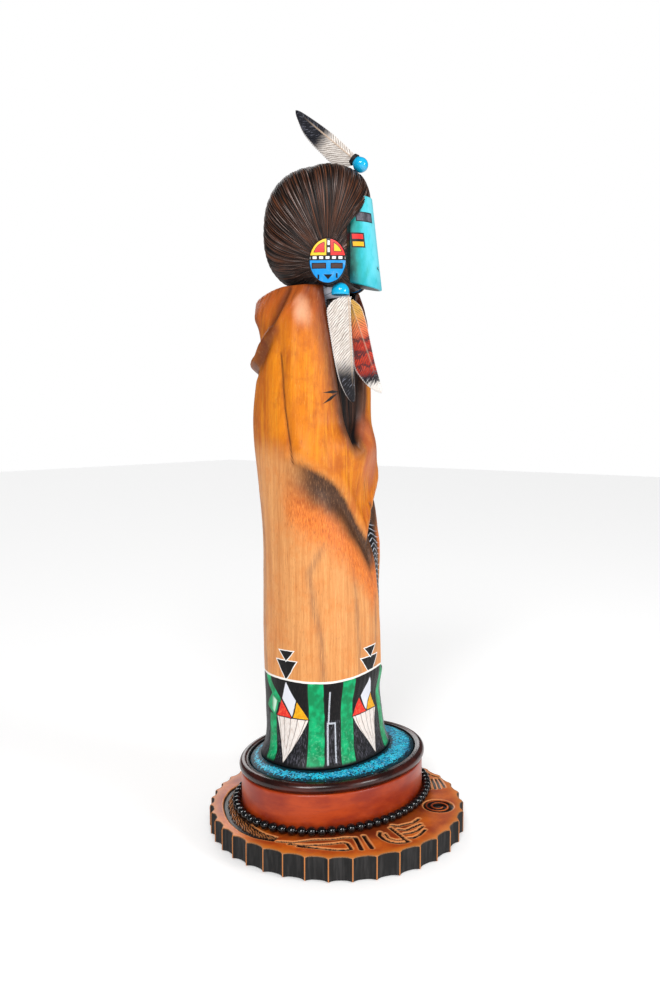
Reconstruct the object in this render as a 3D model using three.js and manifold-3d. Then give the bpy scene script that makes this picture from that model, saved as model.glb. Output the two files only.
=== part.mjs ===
// Kachina doll, a painted wood carving of a robed figure with a turned head, on an oval plinth and a
// fluted round base. Millimetres, +Z up. The figure looks toward -Y and its right hand side is -X.
// The origin is on the underside, at the middle of the fluted base.
import * as THREE from "three";
import { mergeVertices } from "three/addons/utils/BufferGeometryUtils.js";
import Module from "manifold-3d";

const wasm = await Module();
wasm.setup();

// ---------------------------------------------------------------- driving dimensions
const GAP = 0.3; // clearance between pieces that touch

const BASE = { radius: 70, height: 12, edge: 1.3, carved: 1.2 };
const FLUTES = { count: 39, first: 3.1, sway: 6.9, toward: -20, depth: 2.2, steps: 4 };
const PLINTH = { x: 5, y: 6, turn: -4, long: 56.2, short: 45.2, bottom: 12.3, top: 32.5, sides: 40 };
const RIM = { bottom: 32.8, height: 5.6, overhang: 1.2, width: 5.2, floor: 35.4 };
const GROUND = { bottom: 35.7, edge: 37.4, top: 39.7, inset: 4.3, rise: 11 };
const BEADS = { count: 66, radius: 2.55, neck: 0.9, away: 2.75 };

const FIGURE = { x: 2.5, y: 9.5, foot: 40 }; // axis of the robed body
const HEAD = { back: 5.7, z: 322, turn: 22, radius: 29, up: 33.4, down: 31.3, faceFront: 21.5 };
const MASK = { radius: 12.5, out: 22.1, bottom: 289.9, top: 338, lean: 0.117, chinRise: 0.225 };
const EAR = { side: 26.4, front: 13.4, z: 302, leftLift: 1.8, swing: 14, halfWidth: 9.6, halfHeight: 11.6, thick: 2.4 };

// The robe at a set of heights: z, half width, reach to the front, reach to the back.
const ROBE = [
  [40.0, 39.9, 32.0, 31.0],
  [46.0, 37.0, 30.0, 29.6],
  [53.0, 35.4, 28.8, 29.2],
  [60.0, 34.4, 28.0, 30.4],
  [72.0, 33.5, 26.6, 31.8],
  [84.0, 33.4, 28.8, 32.8],
  [110.0, 33.5, 28.6, 33.5],
  [135.0, 33.7, 27.2, 33.1],
  [153.0, 34.1, 25.1, 32.7],
  [166.0, 34.4, 22.8, 33.4],
  [180.0, 34.6, 21.6, 35.4],
  [195.0, 34.8, 22.6, 37.8],
  [208.0, 35.0, 23.6, 40.0],
  [221.0, 35.0, 18.4, 40.9],
  [236.0, 34.8, 18.0, 39.2],
  [250.0, 34.4, 17.6, 36.2],
  [262.0, 33.4, 17.0, 34.6],
  [272.0, 31.4, 16.0, 38.0],
  [280.0, 29.2, 15.0, 42.8],
  [291.5, 24.0, 14.5, 44.6],
];
const ROUNDNESS = 2.2; // exponent of the robe's oval section, 2 being a true ellipse
const CHEST = { roundness: 1.85, from: 186, to: 212, inset: 3.2, low: 203, high: 281 };
const COLLAR = { start: 262, top: 291.5, dip: 5.8, lip: 3, depth: 10 };

// The robe's open edges as angle from the front (+ to the doll's right) and height.
const OPENING_NEAR = [[17, 210], [25, 225.7], [31, 235.5], [43, 260], [50, 278], [58, 296]];
const OPENING_FAR = [[-76, 296], [-62, 280], [-44, 262], [-34, 242], [-31, 228], [-23, 220], [0, 212]];
const SLIT_NEAR = [[-30, 85], [-29, 100], [-27, 124], [-24, 141], [-25, 157], [-26, 177]];
const SLIT_FAR = [[-30, 178], [-48, 157], [-58, 141], [-64, 122], [-66, 100], [-66, 85]];
const SLIT_DEPTH = 1.6;

// Blades of the feathers: share of the length from the quill's root, half width to each side.
const FEATHER_THICK = 1.4;
const WHITE_BLADE = [
  [0, 1.6, 4.2], [0.03, 1.2, 8.0], [0.1, 0.9, 11.2], [0.31, 0.8, 10.6], [0.58, 0.9, 8.9],
  [0.76, 1.0, 7.2], [0.88, 1.0, 5.0], [0.95, 0.9, 3.0],
];
const RED_BLADE = [
  [0, 1.0, 1.0], [0.09, 3.0, 2.6], [0.2, 3.1, 3.8], [0.34, 3.0, 5.3], [0.5, 2.6, 7.2], [0.66, 2.0, 9.2],
  [0.77, 1.6, 7.9], [0.89, 1.3, 5.3], [0.96, 1.1, 2.6],
];
const CROWN_BLADE = [
  [0, 3.0, 1.6], [0.04, 5.6, 2.0], [0.1, 7.6, 2.3], [0.22, 9.0, 2.7], [0.4, 8.6, 3.0], [0.57, 8.0, 2.8],
  [0.75, 6.4, 2.2], [0.91, 3.0, 1.4],
];

// Lines carved into the top of the base: width, then points as angle from the front and distance out.
const CUTS = [
  [1.7, [24.2, 46.6], [26.7, 51.0], [25.6, 57.6], [22.4, 61.1], [17, 62.3]],
  [1.7, [14.9, 45.4], [15.9, 51.0], [17.2, 61.0]],
  [1, [22.4, 49.3], [23.6, 54.3], [18.7, 59.1]],
  [1.6, [11.4, 43.9], [9.6, 46.7], [-0.4, 49.9], [-7.1, 50.2]],
  [1.6, [12.5, 49.1], [9.9, 52.6], [-2, 53.8]],
  [1.5, [13.7, 54.7], [9.7, 56.5], [-0.1, 56.1]],
  [1.5, [14.7, 59.4], [12.8, 61.0], [2.4, 59.3]],
  [1.9, [35.6, 47], [35.8, 60.7]],
  [1.9, [41.2, 49.4], [40.9, 61]],
  [1.4, [82.3, 59.6], [74.4, 56.8], [65.4, 51.2], [53.4, 48.8], [41.8, 48.1]],
  [1.5, [76, 59.2], [61.6, 55.9], [53.3, 53.6], [47.6, 52.9], [45.8, 57.6]],
  [1.6, [71, 60.8], [60, 60.2], [45.6, 60.4]],
  [1.4, [-76.7, 66.2], [-69.5, 64.9], [-64.7, 67.3]],
  [1.3, [-65, 60], [-57.9, 56.8], [-51.8, 54.9]],
  [1.3, [-64.6, 62.4], [-58.2, 60.1], [-51.1, 57.9]],
  [1.3, [-63.7, 64.5], [-57.5, 62.3], [-51.2, 60.6]],
  [1.2, [-63, 66.3], [-56.8, 64.7], [-51.8, 63.8]],
];
const SPIRAL = { at: [-27.8, 56.2], start: 2.3, pitch: 3, width: 1.7, turns: 1.8, from: -80 };

// The toothed band cut round each side of the back: angle, inner edge, outer edge.
const BAND = [
  [84, 56, 60.6], [92, 56.4, 63.1], [102, 55.6, 64], [114, 55.3, 63.4], [126, 55.6, 62.6], [141, 56, 62.2],
  [153, 57.1, 61], [161, 57.6, 59],
];
const BAND_TOOTH = 4.4;

const rad = THREE.MathUtils.degToRad;
const smooth = THREE.MathUtils.smoothstep; // (x, min, max)
const bump = (x, centre, width) => Math.exp(-(((x - centre) / width) ** 2));

// ---------------------------------------------------------------- helpers on meshes
// A closed three.js shape with its shared vertices merged and each of them moved by place(v).
function reshape(geometry, place = () => {}) {
  geometry.deleteAttribute("normal");
  geometry.deleteAttribute("uv");
  const merged = mergeVertices(geometry, 1e-4);
  const position = merged.getAttribute("position");
  const v = new THREE.Vector3();
  for (let i = 0; i < position.count; i++) {
    v.fromBufferAttribute(position, i);
    place(v);
    position.setXYZ(i, v.x, v.y, v.z);
  }
  return merged;
}

function solid(geometry) {
  const { attributes, index } = reshape(geometry);
  return new wasm.Manifold(
    new wasm.Mesh({
      numProp: 3,
      vertProperties: new Float32Array(attributes.position.array),
      triVerts: new Uint32Array(index.array),
    }),
  );
}

function geometryOf(manifold) {
  const mesh = manifold.getMesh();
  const geometry = new THREE.BufferGeometry();
  const stride = mesh.numProp;
  const points = new Float32Array(mesh.numVert * 3);
  for (let i = 0; i < mesh.numVert; i++) {
    points.set(mesh.vertProperties.subarray(i * stride, i * stride + 3), i * 3);
  }
  geometry.setAttribute("position", new THREE.BufferAttribute(points, 3));
  geometry.setIndex(new THREE.BufferAttribute(new Uint32Array(mesh.triVerts), 1));
  return geometry;
}

const cut = (body, cutters) => cutters.reduce((a, b) => a.subtract(solid(b)), body);

// A unit cylinder standing on +Z, with angle 0 at -Y; rows counts its bands from the bottom.
function standing(columns, rows) {
  return new THREE.CylinderGeometry(1, 1, 1, columns, rows).rotateX(Math.PI / 2);
}

// A flat outline of points [x, z], pushed from y = near back to y = far.
function pushed(points, near, far) {
  const outline = new THREE.Shape(points.map(([x, z]) => new THREE.Vector2(x, z)));
  const geometry = new THREE.ExtrudeGeometry(outline, { depth: far - near, bevelEnabled: false });
  return geometry.rotateX(Math.PI / 2).translate(0, far, 0);
}

// Values of a table whose first column is a height, read at z with a smooth curve through the rows.
function readAt(table, z) {
  const last = table.length - 1;
  let i = table.findIndex((row) => row[0] > z) - 1;
  if (z >= table[last][0]) i = last - 1;
  i = Math.max(i, 0);
  const t = THREE.MathUtils.clamp((z - table[i][0]) / (table[i + 1][0] - table[i][0]), 0, 1);
  const slope = (k, column) => {
    const [a, b] = [table[Math.max(k - 1, 0)], table[Math.min(k + 1, last)]];
    return (b[column] - a[column]) / (b[0] - a[0]);
  };
  const step = table[i + 1][0] - table[i][0];
  return table[i].slice(1).map((value, column) => {
    const next = table[i + 1][column + 1];
    const [h00, h10] = [(1 + 2 * t) * (1 - t) ** 2, t * (1 - t) ** 2];
    const [h01, h11] = [t * t * (3 - 2 * t), t * t * (t - 1)];
    return h00 * value + h10 * step * slope(i, column + 1) + h01 * next + h11 * step * slope(i + 1, column + 1);
  });
}

// ---------------------------------------------------------------- the robe's surface
// Distance from the body's axis to the robe at an angle from the front (degrees, + to the right).
function robeOval(angle, z) {
  const [halfWidth, front, back] = readAt(ROBE, z);
  const [s, c] = [Math.abs(Math.sin(rad(angle))), Math.cos(rad(angle))];
  const flatter = smooth(z, CHEST.from, CHEST.to) * smooth(c, -0.2, 0.4);
  const n = ROUNDNESS + (CHEST.roundness - ROUNDNESS) * flatter;
  return ((s / halfWidth) ** n + (Math.abs(c) / (c > 0 ? front : back)) ** n) ** (-1 / n);
}

// Height of the cowl's ridge, which drops from both shoulders to the middle of the back.
const cowlRidge = (side) => (side < 127 ? 253 + 0.76 * (127 - side) : 253 - 0.13 * (side - 127));

// The folded-down cowl behind the neck.
function cowl(angle, z) {
  const side = Math.abs(angle);
  const ridge = cowlRidge(side);
  const height = 1.1 + 3.6 * smooth(side, 92, 122);
  return height * bump(z, ridge, z > ridge ? 5.5 : 3.4) * smooth(side, 70, 88);
}

function sweepRidge(angle) {
  const reach = Math.max(angle, -angle - 24);
  return 165 + 0.66 * reach - 0.0027 * reach * reach;
}

// The long fold that falls from the side of the back down to the front edge of the robe.
function sweep(angle, z) {
  const side = Math.abs(angle);
  const line = sweepRidge(angle);
  const present = 1 - smooth(side, 66, 90);
  return present * (1.3 * bump(z, line + 5, 6) - 2.1 * bump(z, line - 6, 8));
}

// The upright crease between the back of the robe and its side.
function crease(angle, z) {
  const line = 83.5 + 0.25 * (z - 202);
  const present = smooth(z, 196, 210) * (1 - smooth(z, 258, 272));
  return -1.4 * present * bump(Math.abs(angle), line, 7);
}

// The roll of gathered cloth over the hidden hand. Its upper edge climbs from the foot of the open neck.
function gather(angle, z) {
  const below = 207.4 - 0.36 * THREE.MathUtils.clamp(angle, -60, 20) - z;
  return 3 * bump(angle, -18, 30) * smooth(below, -3, 3.5) * bump(Math.max(below, 0), 0, 17);
}

function robeRadius(angle, z) {
  return robeOval(angle, z) + cowl(angle, z) + sweep(angle, z) + crease(angle, z) + gather(angle, z);
}

// How far a level ring of the robe is lifted at an angle, so that the rings run along the folds.
function flow(angle, level) {
  const side = Math.abs(angle);
  const toCowl = THREE.MathUtils.clamp(cowlRidge(side) - 252, -8, 22) * smooth(side, 80, 98);
  const toSweep = (sweepRidge(angle) - 173) * (1 - smooth(side, 84, 120));
  const nearCowl = smooth(level, 226, 252) * (1 - smooth(level, 252, 286));
  return toCowl * nearCowl + toSweep * smooth(level, 112, 173) * (1 - smooth(level, 173, 234));
}

const collarTop = (angle) => COLLAR.top - COLLAR.dip * smooth(Math.abs(angle), 112, 178);

const ROBE_ROWS = [
  40, 43, 48, 56, 66, 76, 84, 100, 118, 134, 144, 152, 160, 168, 176, 184, 192, 200, 206, 211, 216, 221, 227,
  234, 241, 246,
  250, 254, 259, 266, 274, 282, 291.5,
];

function robe() {
  const rows = ROBE_ROWS.length + 1; // the inner wall and the floor of the collar are two more rings
  const place = (v) => {
    const row = Math.round((v.z + 0.5) * rows);
    const reach = Math.hypot(v.x, v.y);
    const angle = THREE.MathUtils.radToDeg(Math.atan2(-v.x, -v.y));
    const inner = row - (ROBE_ROWS.length - 1);
    const ring = ROBE_ROWS[Math.min(row, ROBE_ROWS.length - 1)];
    const level = ring + flow(angle, ring);
    const lift = Math.max(0, level - COLLAR.start) / (COLLAR.top - COLLAR.start);
    let z = Math.min(level, COLLAR.start) + lift * (collarTop(angle) - COLLAR.start);
    let radius = robeRadius(angle, level);
    if (inner > 0) {
      radius -= COLLAR.lip * inner;
      z -= inner === 1 ? 0.6 : COLLAR.depth;
    }
    v.set(-Math.sin(rad(angle)) * radius * reach, -Math.cos(rad(angle)) * radius * reach, z);
  };
  return reshape(standing(40, rows), place);
}

// The front half of a body just inside the robe between two heights, which shows where the robe is open.
function within(low, high, inset, columns, rows) {
  return reshape(standing(columns, rows), (v) => {
    const reach = Math.hypot(v.x, v.y);
    const angle = THREE.MathUtils.radToDeg(Math.atan2(-v.x, -v.y));
    const z = low + (high - low) * (v.z + 0.5);
    const radius = (robeRadius(angle, z) - inset) * reach;
    v.set(-Math.sin(rad(angle)) * radius, Math.min(-Math.cos(rad(angle)) * radius, 0), z);
  });
}

// The upright cutter whose outline follows edges given as angle and height on the robe.
function openingCutter(edges) {
  const outline = edges.map(([angle, z]) => [-Math.sin(rad(angle)) * robeRadius(angle, z), z]);
  return pushed(outline, -60, -2);
}

// ---------------------------------------------------------------- the head
// The hair is a rounded block; it turns squarer toward the forehead and the jaw.
function hairRadius(direction) {
  const flat = Math.hypot(direction.x, direction.y);
  const forward = smooth(-direction.y / Math.max(flat, 1e-6), -0.1, 0.8);
  const up = direction.z > 0;
  const n = up ? 2.3 + 1.7 * forward : 2.5 + 3.5 * forward;
  const share = (flat / HEAD.radius) ** n + (Math.abs(direction.z) / (up ? HEAD.up : HEAD.down)) ** n;
  return share ** (-1 / n);
}

// Locks of hair run from one ear to the other, over the crown and round the back.
function hair(locks, steps) {
  const geometry = new THREE.SphereGeometry(1, locks * 2, steps);
  const ear = new THREE.Vector3(EAR.side, -EAR.front, EAR.z - HEAD.z).normalize();
  const direction = new THREE.Vector3();
  return reshape(geometry, (v) => {
    const toEar = Math.min(1, Math.abs(v.y));
    const around = Math.hypot(v.x, v.z);
    direction.set(Math.sign(v.y) * ear.x * toEar, ear.y * toEar, ear.z * toEar);
    direction.y -= v.x;
    direction.z += v.z;
    direction.normalize();
    const lock = Math.round((Math.atan2(v.z, v.x) / Math.PI) * locks);
    const groove = lock % 2 === 0 ? 0 : -0.7 * smooth(around, 0.3, 0.7);
    v.copy(direction).multiplyScalar(hairRadius(direction) + groove);
  });
}

// Below the fringe the hair stops at a flat front, out of which the mask stands.
function underFringe() {
  const [span, arch, drop, shoulder] = [34, 16, 17.5, 20.7];
  const points = [];
  for (let x = -span; x <= span; x += span / 6) {
    points.push([x, arch - drop * (Math.abs(x) / shoulder) ** 1.3]);
  }
  points.unshift([-span, -60]);
  points.push([span, -60]);
  return pushed(points, -60, -HEAD.faceFront);
}

function mask() {
  const height = MASK.top - MASK.bottom;
  return reshape(standing(26, 3), (v) => {
    const y = v.y * MASK.radius - MASK.out;
    const t = v.z + 0.5;
    const chin = MASK.chinRise * Math.min(MASK.radius + MASK.out + y, 16) * (1 - t);
    const z = MASK.bottom + height * t + chin;
    v.set(v.x * MASK.radius, y + MASK.lean * (z - 297), z - HEAD.z);
  });
}

// Where an ear disc sits: its own +Z looks out of the side of the head.
function earPlace(side) {
  const normal = new THREE.Vector3(side * Math.cos(rad(EAR.swing)), -Math.sin(rad(EAR.swing)), 0);
  const across = new THREE.Vector3(0, 0, 1).cross(normal);
  const place = new THREE.Matrix4().makeBasis(across, new THREE.Vector3(0, 0, 1), normal);
  const height = EAR.z - HEAD.z + (side > 0 ? EAR.leftLift : 0);
  return place.setPosition(new THREE.Vector3(side * EAR.side, -EAR.front, height));
}

function earDisc() {
  const rows = 3;
  return reshape(standing(24, rows), (v) => {
    const reach = Math.hypot(v.x, v.y);
    const row = Math.round((v.z + 0.5) * rows);
    const shrink = [0, 0, 0.35, 1.6][row];
    const rise = [0, 0.55, 0.8, 1][row] * EAR.thick + (row === rows ? 0.5 * (1 - reach) : 0);
    v.set(v.x * (EAR.halfWidth - shrink * reach), v.y * (EAR.halfHeight - shrink * reach), rise);
  });
}

const earSeat = () =>
  reshape(standing(24, 1), (v) => {
    v.set(v.x * (EAR.halfWidth + GAP), v.y * (EAR.halfHeight + GAP), v.z > 0 ? 14 : -GAP);
  });

const headPlace = new THREE.Matrix4()
  .makeRotationZ(rad(HEAD.turn))
  .setPosition(0, HEAD.back, HEAD.z);

function head() {
  const cutters = [underFringe()];
  for (const side of [-1, 1]) cutters.push(earSeat().applyMatrix4(earPlace(side)));
  const carved = cut(solid(hair(18, 16)), cutters).add(solid(mask()));
  return geometryOf(carved).applyMatrix4(headPlace);
}

// ---------------------------------------------------------------- the figure, carved in one piece
function figure() {
  const neck = new THREE.CylinderGeometry(13.5, 15, 26, 20).rotateX(Math.PI / 2).translate(0, 2, 281);
  const opened = cut(solid(robe()), [
    openingCutter([...OPENING_NEAR, ...OPENING_FAR]),
    openingCutter([...SLIT_NEAR, ...SLIT_FAR]),
  ]);
  const chest = solid(within(CHEST.low, CHEST.high, CHEST.inset, 32, 8));
  const dress = solid(within(80, 184, SLIT_DEPTH, 32, 8));
  return geometryOf(opened.add(chest).add(dress).add(solid(neck)).add(solid(head())));
}

// ---------------------------------------------------------------- feathers and beads
// A carved feather lying along +Y from its quill, with its face toward +Z.
function feather(length, blade) {
  const left = blade.map(([t, half]) => new THREE.Vector2(-half, t * length));
  const right = blade.map(([t, , half]) => new THREE.Vector2(half, t * length)).reverse();
  const outline = new THREE.Shape([...left, new THREE.Vector2(0, length), ...right].reverse());
  const geometry = new THREE.ExtrudeGeometry(outline, { depth: FEATHER_THICK, bevelEnabled: false });
  return geometry.translate(0, 0, -FEATHER_THICK / 2);
}

// Turns a feather so that it runs from root to tip with its face toward look.
function lay(root, tip, look) {
  const along = new THREE.Vector3().subVectors(tip, root).normalize();
  const across = new THREE.Vector3().crossVectors(along, look).normalize();
  const face = new THREE.Vector3().crossVectors(across, along);
  return new THREE.Matrix4().makeBasis(across, along, face).setPosition(root);
}

// A round bead cut flat on one side, its dome toward +Z.
function domeBead(radius, height) {
  const profile = [new THREE.Vector2(0, 0), new THREE.Vector2(radius * 0.96, 0)];
  const steps = 4;
  for (let i = 0; i <= steps; i++) {
    const t = (i / steps) * (Math.PI / 2);
    const level = height - radius + radius * Math.sin(t);
    profile.push(new THREE.Vector2(i === steps ? 0 : radius * Math.cos(t), level));
  }
  return new THREE.LatheGeometry(profile, 14).rotateX(Math.PI / 2);
}

// ---------------------------------------------------------------- the plinth and the base
// A stack of oval rings given as [how far outside the drum, height], closed at both ends.
function ovalStack(rings, columns) {
  const rows = rings.length - 1;
  return reshape(standing(columns, rows), (v) => {
    const [out, z] = rings[Math.round((v.z + 0.5) * rows)];
    v.set(v.x * (PLINTH.long + out), v.y * (PLINTH.short + out), z);
  });
}

function rim() {
  const { bottom, height, overhang, width, floor } = RIM;
  const rings = [[overhang - 1.3, bottom]];
  for (let i = 0; i <= 4; i++) {
    const t = rad(-45 + i * 40);
    rings.push([overhang - 1.9 + 1.9 * Math.cos(t), bottom + height * (0.45 + 0.5 * Math.sin(t))]);
  }
  rings.push([overhang - width, bottom + height - 0.5], [overhang - width - 0.4, floor]);
  return ovalStack(rings, PLINTH.sides);
}

function ground() {
  const { bottom, edge, top, inset, rise } = GROUND;
  const steps = [0, 0.3, 1];
  const rings = [[-inset - 0.5, bottom]];
  for (const t of steps) {
    rings.push([-inset - 0.4 - rise * t, edge + (top - edge) * Math.sin((t * Math.PI) / 2)]);
  }
  return ovalStack(rings, PLINTH.sides);
}

function beadString() {
  const { count, radius, neck, away } = BEADS;
  const perBead = 2;
  const [tubular, radial] = [count * perBead, 5];
  return reshape(new THREE.TorusGeometry(10, 1, radial, tubular), (v) => {
    const turn = Math.atan2(v.y, v.x);
    const step = ((Math.round((turn / (2 * Math.PI)) * tubular) % perBead) + perBead) % perBead;
    const size = step === 0 ? neck : radius;
    const [out, up] = [Math.hypot(v.x, v.y) - 10, v.z];
    const [a, b] = [PLINTH.long + away, PLINTH.short + away];
    // The beads are spaced evenly along the oval, so the angle is led a little ahead of the turn.
    const lead = turn - (0.25 * (a - b) * Math.sin(2 * turn)) / (a + b);
    v.set(Math.cos(lead) * (a + out * size), Math.sin(lead) * (b + out * size), up * size);
  });
}

function onTop(angle, distance) {
  return new THREE.Vector2(-Math.sin(rad(angle)) * distance, -Math.cos(rad(angle)) * distance);
}

// Scalloped flutes stand round the edge. They widen a little toward one side, as cut by hand.
function flutedDisc() {
  const levels = [0, BASE.height - BASE.edge, BASE.height];
  const limits = [BASE.radius, BASE.radius, BASE.radius - BASE.edge];
  const columns = FLUTES.count * FLUTES.steps;
  return reshape(standing(columns, levels.length - 1), (v) => {
    const row = Math.round((v.z + 0.5) * (levels.length - 1));
    const reach = Math.hypot(v.x, v.y);
    const part = (Math.round((Math.atan2(-v.x, -v.y) / (2 * Math.PI)) * columns) + columns) % columns;
    const turn = FLUTES.first + (part / columns) * 360;
    const angle = turn + FLUTES.sway * Math.sin(rad(turn - FLUTES.toward));
    const across = Math.abs((2 * (part % FLUTES.steps)) / FLUTES.steps - 1);
    const hollow = BASE.radius - FLUTES.depth * (1 - across ** 3);
    const point = onTop(angle, Math.min(limits[row], hollow) * reach);
    v.set(point.x, point.y, levels[row]);
  });
}

// Pushes an outline on the base top down to the floor of the carving.
function sunk(outline) {
  const shape = new THREE.Shape(outline);
  const cutter = new THREE.ExtrudeGeometry(shape, { depth: BASE.carved + 1, bevelEnabled: false });
  return cutter.translate(0, 0, BASE.height - BASE.carved);
}

// A carved stroke of the given width along a line.
function stroke(line, width) {
  const sides = line.map((point, i) => {
    const ahead = line[Math.min(i + 1, line.length - 1)];
    const behind = line[Math.max(i - 1, 0)];
    const along = new THREE.Vector2().subVectors(ahead, behind).normalize();
    return [point, new THREE.Vector2(-along.y, along.x).multiplyScalar(width / 2)];
  });
  const left = sides.map(([p, n]) => p.clone().add(n));
  const right = sides.map(([p, n]) => p.clone().sub(n)).reverse();
  return sunk([...left, ...right]);
}

function spiral() {
  const { at, start, pitch, width, turns, from } = SPIRAL;
  const centre = onTop(...at);
  const perTurn = 8;
  const line = [];
  for (let i = 0; i <= turns * perTurn; i++) {
    const reach = start - pitch / 2 + (pitch * i) / perTurn;
    const turn = rad(from - (360 * i) / perTurn);
    line.push(new THREE.Vector2(Math.cos(turn), Math.sin(turn)).multiplyScalar(reach).add(centre));
  }
  return stroke(line, width);
}

// A long hollow round one side of the back, its inner edge left as a row of pointed teeth.
function toothedBand(side) {
  const outer = BAND.map(([angle, , distance]) => onTop(side * angle, distance));
  const [from, to] = [BAND[0][0], BAND[BAND.length - 1][0]];
  const teeth = [];
  for (let angle = from + 1; angle < to - BAND_TOOTH; angle += BAND_TOOTH) {
    const [inner, edge] = readAt(BAND, angle);
    teeth.push(onTop(side * angle, inner), onTop(side * (angle + 1.6), edge - 2.4));
  }
  const outline = [...outer, ...teeth.reverse()];
  return sunk(side > 0 ? outline : outline.reverse());
}

function carvings() {
  const strokes = CUTS.map(([width, ...points]) => stroke(points.map((point) => onTop(...point)), width));
  return [...strokes, spiral(), toothedBand(1), toothedBand(-1)];
}

// ---------------------------------------------------------------- the object
const finish = (color, roughness) => new THREE.MeshStandardMaterial({ color, roughness, metalness: 0 });
const FINISH = {
  robe: finish(0xd98c2e, 0.45),
  stainedDisc: finish(0xc3682a, 0.5),
  drum: finish(0xb0481c, 0.45),
  rim: finish(0x3e1a12, 0.25),
  ground: finish(0x1c95c4, 0.6),
  blackBeads: finish(0x0c0d12, 0.2),
  turquoise: finish(0x12a8d8, 0.25),
  featherWhite: finish(0xd9d2c8, 0.6),
  featherRed: finish(0xb5402c, 0.6),
  earDisc: finish(0x1489c9, 0.45),
};

const doll = new THREE.Group();

function add(parent, name, geometry, material) {
  const mesh = new THREE.Mesh(geometry, material);
  mesh.name = name;
  parent.add(mesh);
  return mesh;
}

add(doll, "base_disc", geometryOf(cut(solid(flutedDisc()), carvings())), FINISH.stainedDisc);

const plinth = new THREE.Group();
plinth.position.set(PLINTH.x, PLINTH.y, 0);
plinth.rotation.z = rad(PLINTH.turn);
doll.add(plinth);
add(plinth, "plinth_drum", ovalStack([[0, PLINTH.bottom], [0, PLINTH.top]], PLINTH.sides), FINISH.drum);
add(plinth, "plinth_rim", rim(), FINISH.rim);
add(plinth, "ground_disc", ground(), FINISH.ground);
const beads = add(plinth, "bead_string", beadString(), FINISH.blackBeads);
beads.position.z = BASE.height + BEADS.radius + GAP;

const body = new THREE.Group();
body.position.set(FIGURE.x, FIGURE.y, 0);
doll.add(body);
add(body, "figure", figure(), FINISH.robe);

const headGroup = new THREE.Group();
headGroup.applyMatrix4(headPlace);
body.add(headGroup);
for (const [name, side] of [["ear_disc_right", -1], ["ear_disc_left", 1]]) {
  add(headGroup, name, earDisc(), FINISH.earDisc).applyMatrix4(earPlace(side));
}

// The crown's feather is tied behind a bead at the top of the fringe.
const crown = { root: [0, -21, 36.2], tip: [0, 12.2, 64.9], look: [-1, 0, 0], beadRadius: 4, beadLength: 7.4 };
// Two feathers hang from a bead below the right ear, over the open front of the robe.
const hanging = { bead: [-11.9, -18.9, 285.8], radius: 4.7, height: 6.2, look: [-0.788, -0.616, 0] };
const white = { root: [-11.2, -23.6, 284.6], tip: [-7.7, -24.4, 230.6] };
const red = { root: [-6.4, -21, 283.4], tip: [8.4, -30.8, 235.6] };

function addFeather(parent, name, { root, tip }, look, blade, material) {
  const [from, to] = [new THREE.Vector3(...root), new THREE.Vector3(...tip)];
  const place = lay(from, to, new THREE.Vector3(...look));
  add(parent, name, feather(from.distanceTo(to), blade), material).applyMatrix4(place);
}

addFeather(headGroup, "crown_feather", crown, crown.look, CROWN_BLADE, FINISH.featherWhite);
addFeather(body, "white_feather", white, hanging.look, WHITE_BLADE, FINISH.featherWhite);
addFeather(body, "red_feather", red, hanging.look, RED_BLADE, FINISH.featherRed);

const crownBead = add(headGroup, "crown_bead", domeBead(crown.beadRadius, crown.beadLength), FINISH.turquoise);
const crownRoot = new THREE.Vector3(...crown.root);
const toBead = crownRoot.clone().sub(new THREE.Vector3(...crown.tip)).normalize();
crownBead.quaternion.setFromUnitVectors(new THREE.Vector3(0, 0, 1), toBead);
crownBead.position.copy(crownRoot).addScaledVector(toBead, GAP);

const neckBead = add(body, "neck_bead", domeBead(hanging.radius, hanging.height), FINISH.turquoise);
neckBead.position.set(...hanging.bead);

export default doll;
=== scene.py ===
import math

import bpy
import numpy as np
from mathutils import Matrix, Vector


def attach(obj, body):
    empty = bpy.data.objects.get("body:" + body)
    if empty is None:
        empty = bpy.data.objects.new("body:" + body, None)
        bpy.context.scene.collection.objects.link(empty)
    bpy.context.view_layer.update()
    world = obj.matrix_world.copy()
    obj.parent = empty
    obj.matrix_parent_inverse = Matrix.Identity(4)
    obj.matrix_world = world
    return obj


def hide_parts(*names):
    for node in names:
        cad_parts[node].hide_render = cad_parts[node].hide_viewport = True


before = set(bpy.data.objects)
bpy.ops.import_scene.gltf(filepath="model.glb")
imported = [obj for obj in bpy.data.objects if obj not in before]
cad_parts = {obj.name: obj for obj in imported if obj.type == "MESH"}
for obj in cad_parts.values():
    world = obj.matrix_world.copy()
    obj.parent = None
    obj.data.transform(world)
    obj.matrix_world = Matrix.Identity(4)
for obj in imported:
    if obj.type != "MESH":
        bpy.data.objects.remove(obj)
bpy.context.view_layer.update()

MM = 0.001


# ---------------------------------------------------------------- small maths
def smooth(x, low, high):
    t = np.clip((x - low) / (high - low), 0, 1)
    return t * t * (3 - 2 * t)


def bump(x, centre, width):
    return np.exp(-(((x - centre) / width) ** 2))


def ramp(x, low, length):
    """0 up to low, then a straight climb to 1 over the given length."""
    return np.clip((x - low) / length, 0, 1)


def quarter(x):
    """The height of a quarter circle of radius 1, from 0 where x is 0 to 1 where x is 1."""
    return np.sqrt(np.clip(1 - (1 - np.clip(x, 0, 1)) ** 2, 0, 1))


def row_of(v, rows):
    """The number of the grid's row, or column, at v."""
    return np.rint(v * rows).astype(int)


def stack(*columns):
    """Puts the coordinates of many points side by side."""
    return np.stack(columns, -1)


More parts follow.
